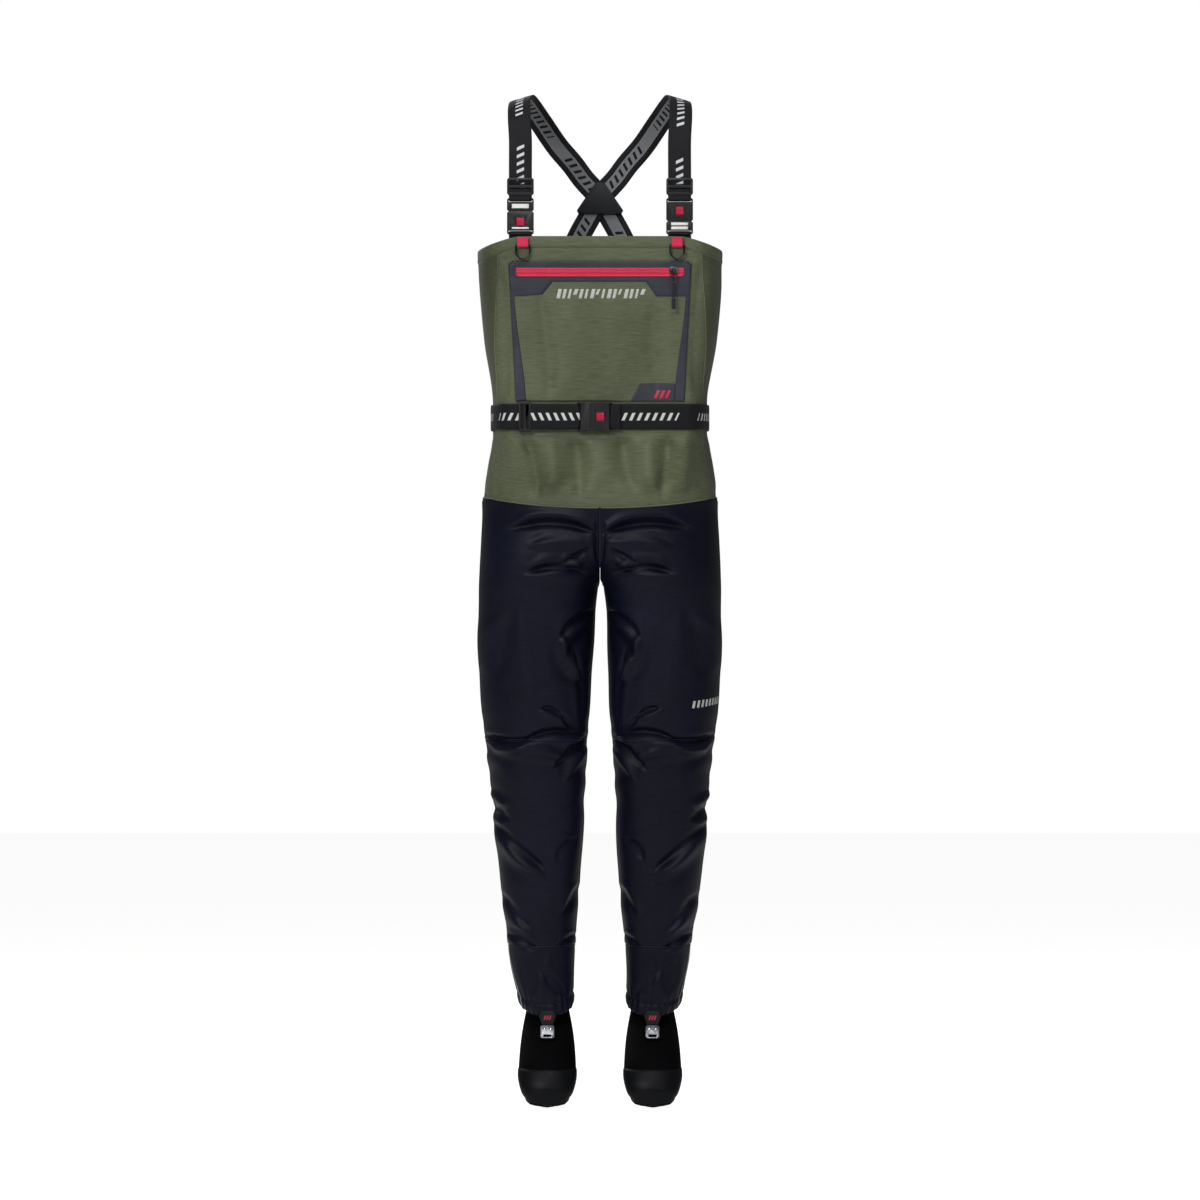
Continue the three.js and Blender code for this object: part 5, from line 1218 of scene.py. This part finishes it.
def strap_route(way, lift):
    """Points of a strap and the directions that its outer face looks, from its front end to its anchor."""
    route = [
        ((STRAP_X, STRAP_Y, STRAP_FOOT), (0, -1, 0)), ((STRAP_X, STRAP_Y, STRAP_FOOT + 24), (0, -1, 0)),
        ((STRAP_X, STRAP_Y, -75), (0, -1, 0)), ((STRAP_X + 2, STRAP_Y + 16, -38), (0.05, -0.85, 0.5)),
        ((STRAP_X + 2, STRAP_Y + 58, -9), (0.25, -0.42, 0.88)), ((STRAP_X - 3, -10, 1), (0.3, 0, 0.95)),
        ((STRAP_X - 13, 42, -7), (0.3, 0.38, 0.86)), ((STRAP_X - 33, 84, -34), (0.22, 0.8, 0.55)),
        ((STRAP_X - 60, BACK_DEPTH - 9, -72), (0.1, 0.96, 0.2)),
        ((STRAP_X - 85, BACK_DEPTH - 2, -101), (0, 1, 0.08)),
        ((28, BACK_DEPTH + lift, CROSS_Z + 32), (0, 1, 0)),
        ((0, BACK_DEPTH + lift, CROSS_Z), (0, 1, 0)), ((-18, BACK_DEPTH + lift, CROSS_Z - 33), (0, 1, 0)),
        ((-36, BACK_DEPTH + lift, CROSS_Z - 66), (0, 1, 0)),
        ((-ANCHOR_X + 16, ANCHOR_Y, HEM_BACK + 2), (0, 1, 0)),
        ((-ANCHOR_X, ANCHOR_Y + 0.4, HEM_BACK - 28), (0, 1, 0)),
    ]
    mirror = np.array([way, 1, 1])
    return np.array([p for p, _ in route]) * mirror, np.array([f for _, f in route], float) * mirror


for side, way in SIDES:
    spots, faces = strap_route(way, -CROSS_LIFT * way)
    woven_strap(f"strap_webbing_{side}", through(spots, 420), through(faces, 420), STRAP_WIDTH, WEB,
                strap_web, "garment", "black_webbing", f"shoulder_strap_{side}",
                start=52.0 if way > 0 else 30.0)
    box_x, box_z = -ANCHOR_X * way, HEM_BACK - 14
    corner = [(-15, -10), (15, -10), (15, 10), (-15, 10), (-15, -10), (15, 10), (15, -10), (-15, 10)]
    lean = np.arctan2(16 * way, 30)
    outline = np.array(corner) @ np.array([[np.cos(lean), np.sin(lean)], [-np.sin(lean), np.cos(lean)]])
    stitch = traced(outline, box_x + 6 * way, ANCHOR_Y + 1.35, box_z, 200)
    thread_row(f"anchor_stitch_{side}", stitch, 3.0, 2.2, 0.3, dark_thread, "garment", "black_webbing")
rounded("cross_sleeve_moulded", "back_cross_patch", 0.9, badge_rubber, "garment", "black_rubber", 3)

# ---- Shoulder buckles, adjusters and D-rings
# Side by side on both shoulders: a moulded black release buckle with a red push button and white painted
# bars, a ladder adjuster above it, and a red webbing loop below with a dark wire D-ring hanging in it.
TURN, LOWER_BAR, UPPER_BAR, LOOP_TOP = 2.9, -228.5, -172.5, -155.5
BUCKLE_THICK, BUTTON_RIM = 11, 8.3
RING_X, RING_Z, RING_Y, RING_TURN = 127, -248, -126.3, 2.6
RING_HALF, RING_DROP, RING_WIRE = 11.5, 11, 1.5


def half_turn(centre, radius, start, way=1):
    """Half a circle round a bar, in the plane the webbing runs in."""
    turn = start + way * np.pi * np.linspace(0, 1, 17)
    return np.stack([centre[0] + radius * np.cos(turn), centre[1] + radius * np.sin(turn)], -1)


def folded_web(name, plane, hand, put, width, thick, material, body, slot, *nodes, start=0.0):
    """Webbing whose path is drawn in one plane; it faces a quarter turn from the way it runs, to the side
    that hand gives. put sets the plane's two axes in space."""
    path = np.concatenate([np.atleast_2d(part) for part in plane])
    steps = distances(path)
    fine = np.arange(0, steps[-1], 0.9)
    path = np.stack([np.interp(fine, steps, path[:, k]) for k in range(2)], -1)
    ways = np.gradient(path, axis=0)
    faces = np.stack([ways[:, 1], -ways[:, 0]], -1) * hand
    centres, turned_faces = put(path[:, 0], path[:, 1], False), put(faces[:, 0], faces[:, 1], True)
    return woven_strap(name, centres, turned_faces, width, thick, material, body, slot, *nodes, start=start)


def upright(x):
    """The plane that runs front to back and up at a distance x from the middle."""
    return lambda a, b, way: np.stack([np.full_like(a, 0 if way else x), a, b], -1)


buckle_black = moulded("black_acetal", "#121214", "#1d1d20", 0.4, 1300.0, 0.06)
button_red = moulded("red_acetal_button", "#a90f35", "#c01d44", 0.36, 1300.0, 0.05)
white_paint = moulded("white_tampo_paint", "#dededc", "#f2f2f0", 0.5, 1500.0, 0.03)
ring_steel = plated("black_nickel_wire", "#2b2b2e", "#45454a", 0.3)


def button_frame(name, x, y, z, body):
    """A raised rim round a push button: a square with well rounded corners."""
    lap = np.linspace(0, 2 * np.pi, 121)
    path = np.stack([x + BUTTON_RIM * power(np.cos(lap), 0.3), np.full(121, y - 0.05),
                     z + BUTTON_RIM * power(np.sin(lap), 0.3)], -1)
    ridge(name, path, 0.75, buckle_black, body, "black_plastic")


def sewn_depth(z):
    """Where the webbing sewn inside the bib front lies."""
    return -trunk(z, 2) + 4.2


for side, way in SIDES:
    x = STRAP_X * way
    halves = (f"strap_end_{side}", "garment")
    socket_body, tongue_body = halves if way > 0 else halves[::-1]
    folded_web(f"strap_loop_web_{side}", [
        (STRAP_Y - TURN, LOOP_TOP), half_turn((STRAP_Y, UPPER_BAR), TURN, np.pi), (STRAP_Y + TURN, LOOP_TOP),
    ], 1, upright(x), STRAP_WIDTH, WEB, plain_web, f"strap_end_{side}", "black_webbing", f"strap_loop_{side}")
    folded_web(f"bib_tab_web_{side}", [
        (sewn_depth(HEM_FRONT - 48), HEM_FRONT - 48), (sewn_depth(HEM_FRONT), HEM_FRONT),
        half_turn((STRAP_Y, LOWER_BAR), TURN, 0), (STRAP_Y - TURN, HEM_FRONT + WEB),
    ], 1, upright(x), STRAP_WIDTH, WEB, plain_web, "garment", "black_webbing", f"bib_tab_{side}")
    for name, source, width, body in (
        ("adjuster", f"strap_adjuster_{side}", 0.8, f"strap_adjuster_{side}"),
        ("socket", f"shoulder_socket_{side}", 0.8, socket_body),
        ("tongue", f"shoulder_tongue_{side}", 0.6, tongue_body),
    ):
        rounded(f"{name}_moulded_{side}", source, width, buckle_black, body, "black_plastic", 3)
    rounded(f"button_moulded_{side}", f"shoulder_button_{side}", 0.7, button_red, f"shoulder_button_{side}",
            "red_plastic", 3)
    low, high = box_mm(f"shoulder_button_{side}")
    face_y = STRAP_Y - BUCKLE_THICK / 2
    button_frame(f"button_frame_{side}", x, face_y, (low[2] + high[2]) / 2, socket_body)
    bars = ((-187.5, -180.5), (-221.4, -218.6)) if way < 0 else ((-215.6, -211.0), (-222.2, -217.6))
    for place, (foot_z, top_z) in zip(("upper", "lower"), bars):
        on_socket = (way < 0) == (place == "lower")
        rows = [[(-14, top_z), (14, top_z), (14, foot_z), (-14, foot_z)]]
        body = socket_body if way < 0 and on_socket else tongue_body
        strokes(f"buckle_bar_{side}_{place}", rows, on_face(x, face_y - 0.12, 0), 0.2, white_paint, body,
                "black_plastic")

    x = RING_X * way
    folded_web(f"ring_loop_web_{side}", [
        (RING_Y - RING_TURN, HEM_FRONT - 2), half_turn((RING_Y, RING_Z), RING_TURN, np.pi),
        (RING_Y + RING_TURN, HEM_FRONT - 2),
    ], 1, upright(x), 18, 1.6, red_web, "garment", "red_webbing", f"ring_loop_{side}")
    turn = np.linspace(0, np.pi, 41)
    bow = np.stack([RING_HALF * np.cos(turn), -RING_DROP - RING_HALF * np.sin(turn)], -1)
    top = np.array([(-RING_HALF, -2.0), (-RING_HALF + 0.6, -0.6), (-RING_HALF + 2, 0), (0, 0),
                    (RING_HALF - 2, 0), (RING_HALF - 0.6, -0.6), (RING_HALF, -2.0)])
    wire = np.concatenate([top, bow])
    wire_path = np.stack([x + wire[:, 0], np.full(len(wire), RING_Y), RING_Z + wire[:, 1]], -1)
    grid = cord_grid(wire_path, RING_WIRE, 14, closed=True)
    ring = grid_object(f"d_ring_wire_{side}", grid, (np.arange(15)[None, :], np.arange(len(grid))[:, None]),
                       ring=True, flip=True)
    fitted(ring, ring_steel, f"d_ring_{side}", "dark_metal", f"d_ring_{side}")

# ---- Wading belt
# A 42 mm black webbing belt in two loops behind. It closes with a side release buckle with a red button, and
# its free end doubles back through a moulded slider. White slanted bars are woven into it in groups.
BELT_FACE, SOCKET_BAR, TONGUE_BAR, SLIDER_X = -110.8, 19.5, -36.5, -124
belt_web = webbing("black_printed_belt", "#101113", "#191a1c", "#17181a", "#d2d2d0", "#d2d2d0", 0.0, 6.2,
                   (145, 108))
belt_top = np.linspace(20, 320, 400)
bare = trunk_point(belt_top, float(BELT_Z))
ahead = trunk_point(belt_top + 0.5, float(BELT_Z))
outward = unit(np.stack([ahead[:, 1] - bare[:, 1], bare[:, 0] - ahead[:, 0]], -1))
stand_off = mix(2.9, 5.8, smooth(belt_top, 292, 318))[:, None]
waist_line = bare[:, :2] + outward * stand_off


def level_web(a, b, way):
    """The level plane at the belt's height."""
    return np.stack([a, b, np.full_like(a, 0 if way else BELT_Z)], -1)


folded_web("belt_web", [
    (SOCKET_BAR + 14, BELT_FACE - TURN), half_turn((SOCKET_BAR, BELT_FACE), TURN, -np.pi / 2, -1), waist_line,
    (SLIDER_X + 4, BELT_FACE),
], -1, level_web, BELT_WIDTH, WEB, belt_web, "garment", "black_webbing", "belt_webbing", start=121.0)
folded_web("belt_tail_web", [
    (SLIDER_X - 8, BELT_FACE - TURN), half_turn((TONGUE_BAR, BELT_FACE), TURN, -np.pi / 2),
    (TONGUE_BAR - 60, BELT_FACE + TURN),
], 1, level_web, BELT_WIDTH, WEB, belt_web, "belt_end", "black_webbing", "belt_free_end", start=130.0)
for source, width, body in (("belt_slider", 0.8, "belt_slider"), ("belt_socket", 0.9, "garment"),
                            ("belt_tongue", 0.7, "belt_end")):
    rounded(f"{source}_moulded", source, width, buckle_black, body, "black_plastic", 3)
rounded("belt_button_moulded", "belt_button", 0.7, button_red, "belt_button", "red_plastic", 3)
low, high = box_mm("belt_button")
button_frame("belt_button_frame", (low[0] + high[0]) / 2, BELT_FACE - BUCKLE_THICK / 2, BELT_Z, "garment")

LOOP_X, LOOP_REACH = 88, BELT_WIDTH / 2 + 4


def loop_foot(z):
    """An end of a belt loop, lying on the back panel."""
    return (trunk(z, 2) + 1.1, z)


for side, way in SIDES:
    folded_web(f"belt_loop_web_{side}", [
        loop_foot(BELT_Z - LOOP_REACH - 14), (106.5, BELT_Z - LOOP_REACH),
        (111.0, BELT_Z - BELT_WIDTH / 2 - 1), (111.0, BELT_Z + BELT_WIDTH / 2 + 1),
        (106.5, BELT_Z + LOOP_REACH), loop_foot(BELT_Z + LOOP_REACH + 14),
    ], 1, upright(LOOP_X * way), 14, 1.2, plain_web, "garment", "black_webbing", f"belt_loop_{side}")
    for end, height in (("top", BELT_Z + LOOP_REACH + 8), ("foot", BELT_Z - LOOP_REACH - 8)):
        tack = traced([(-5, -4), (5, -4), (5, 4), (-5, 4), (-5, -4)], LOOP_X * way, trunk(height, 2) + 1.9,
                      height, 80)
        thread_row(f"loop_bartack_{side}_{end}", tack, 2.2, 1.8, 0.28, dark_thread, "garment",
                   "black_webbing")

# ---- Printed marks
# Plain slanted bars printed in pale grey across the pocket and round one thigh, and three short red ones on
# the pocket's corner patch. They are thin rubbery ink, a little proud of the cloth.
pale_ink = moulded("pale_grey_ink", "#b4b7ae", "#cbcdc6", 0.6, 800.0, 0.05)
starts = np.arange(-72, 66, 9.2)
chest_bars = [[(a + 3.6, -320), (a + 9.6 - (k % 3), -320), (a + 6.0 - (k % 3), -335.5 + 6 * (k % 4 == 3)),
               (a, -335.5 + 6 * (k % 4 == 3))] for k, a in enumerate(starts)]
strokes("chest_bars", chest_bars, lambda x, z: front_point(x, z, PANEL_OUT + 0.15), 0.2, pale_ink, "garment",
        "olive_fabric")
corner_bars = [[(a, -486.5), (a + 5.2, -486.5), (a - 0.4, -500), (a - 5.6, -500)] for a in (94, 103, 112)]
strokes("corner_bars", corner_bars, lambda x, z: front_point(x, z, TRIM_OUT + 0.15), 0.2, print_red,
        "garment", "trim_film")
thigh_bars = [[(a + 1.6, a / 7 - 1003), (a + 5.0, a / 7 - 1003), (a + 3.4, a / 7 - 1015), (a, a / 7 - 1015)]
              for a in np.arange(29, 98, 6.6)]
strokes("thigh_bars", thigh_bars, lambda t, z: lifted(leg_point, t, z, leg_drape(t, z, SEEDS[1]) + 0.25), 0.2,
        pale_ink, "garment", "navy_fabric")
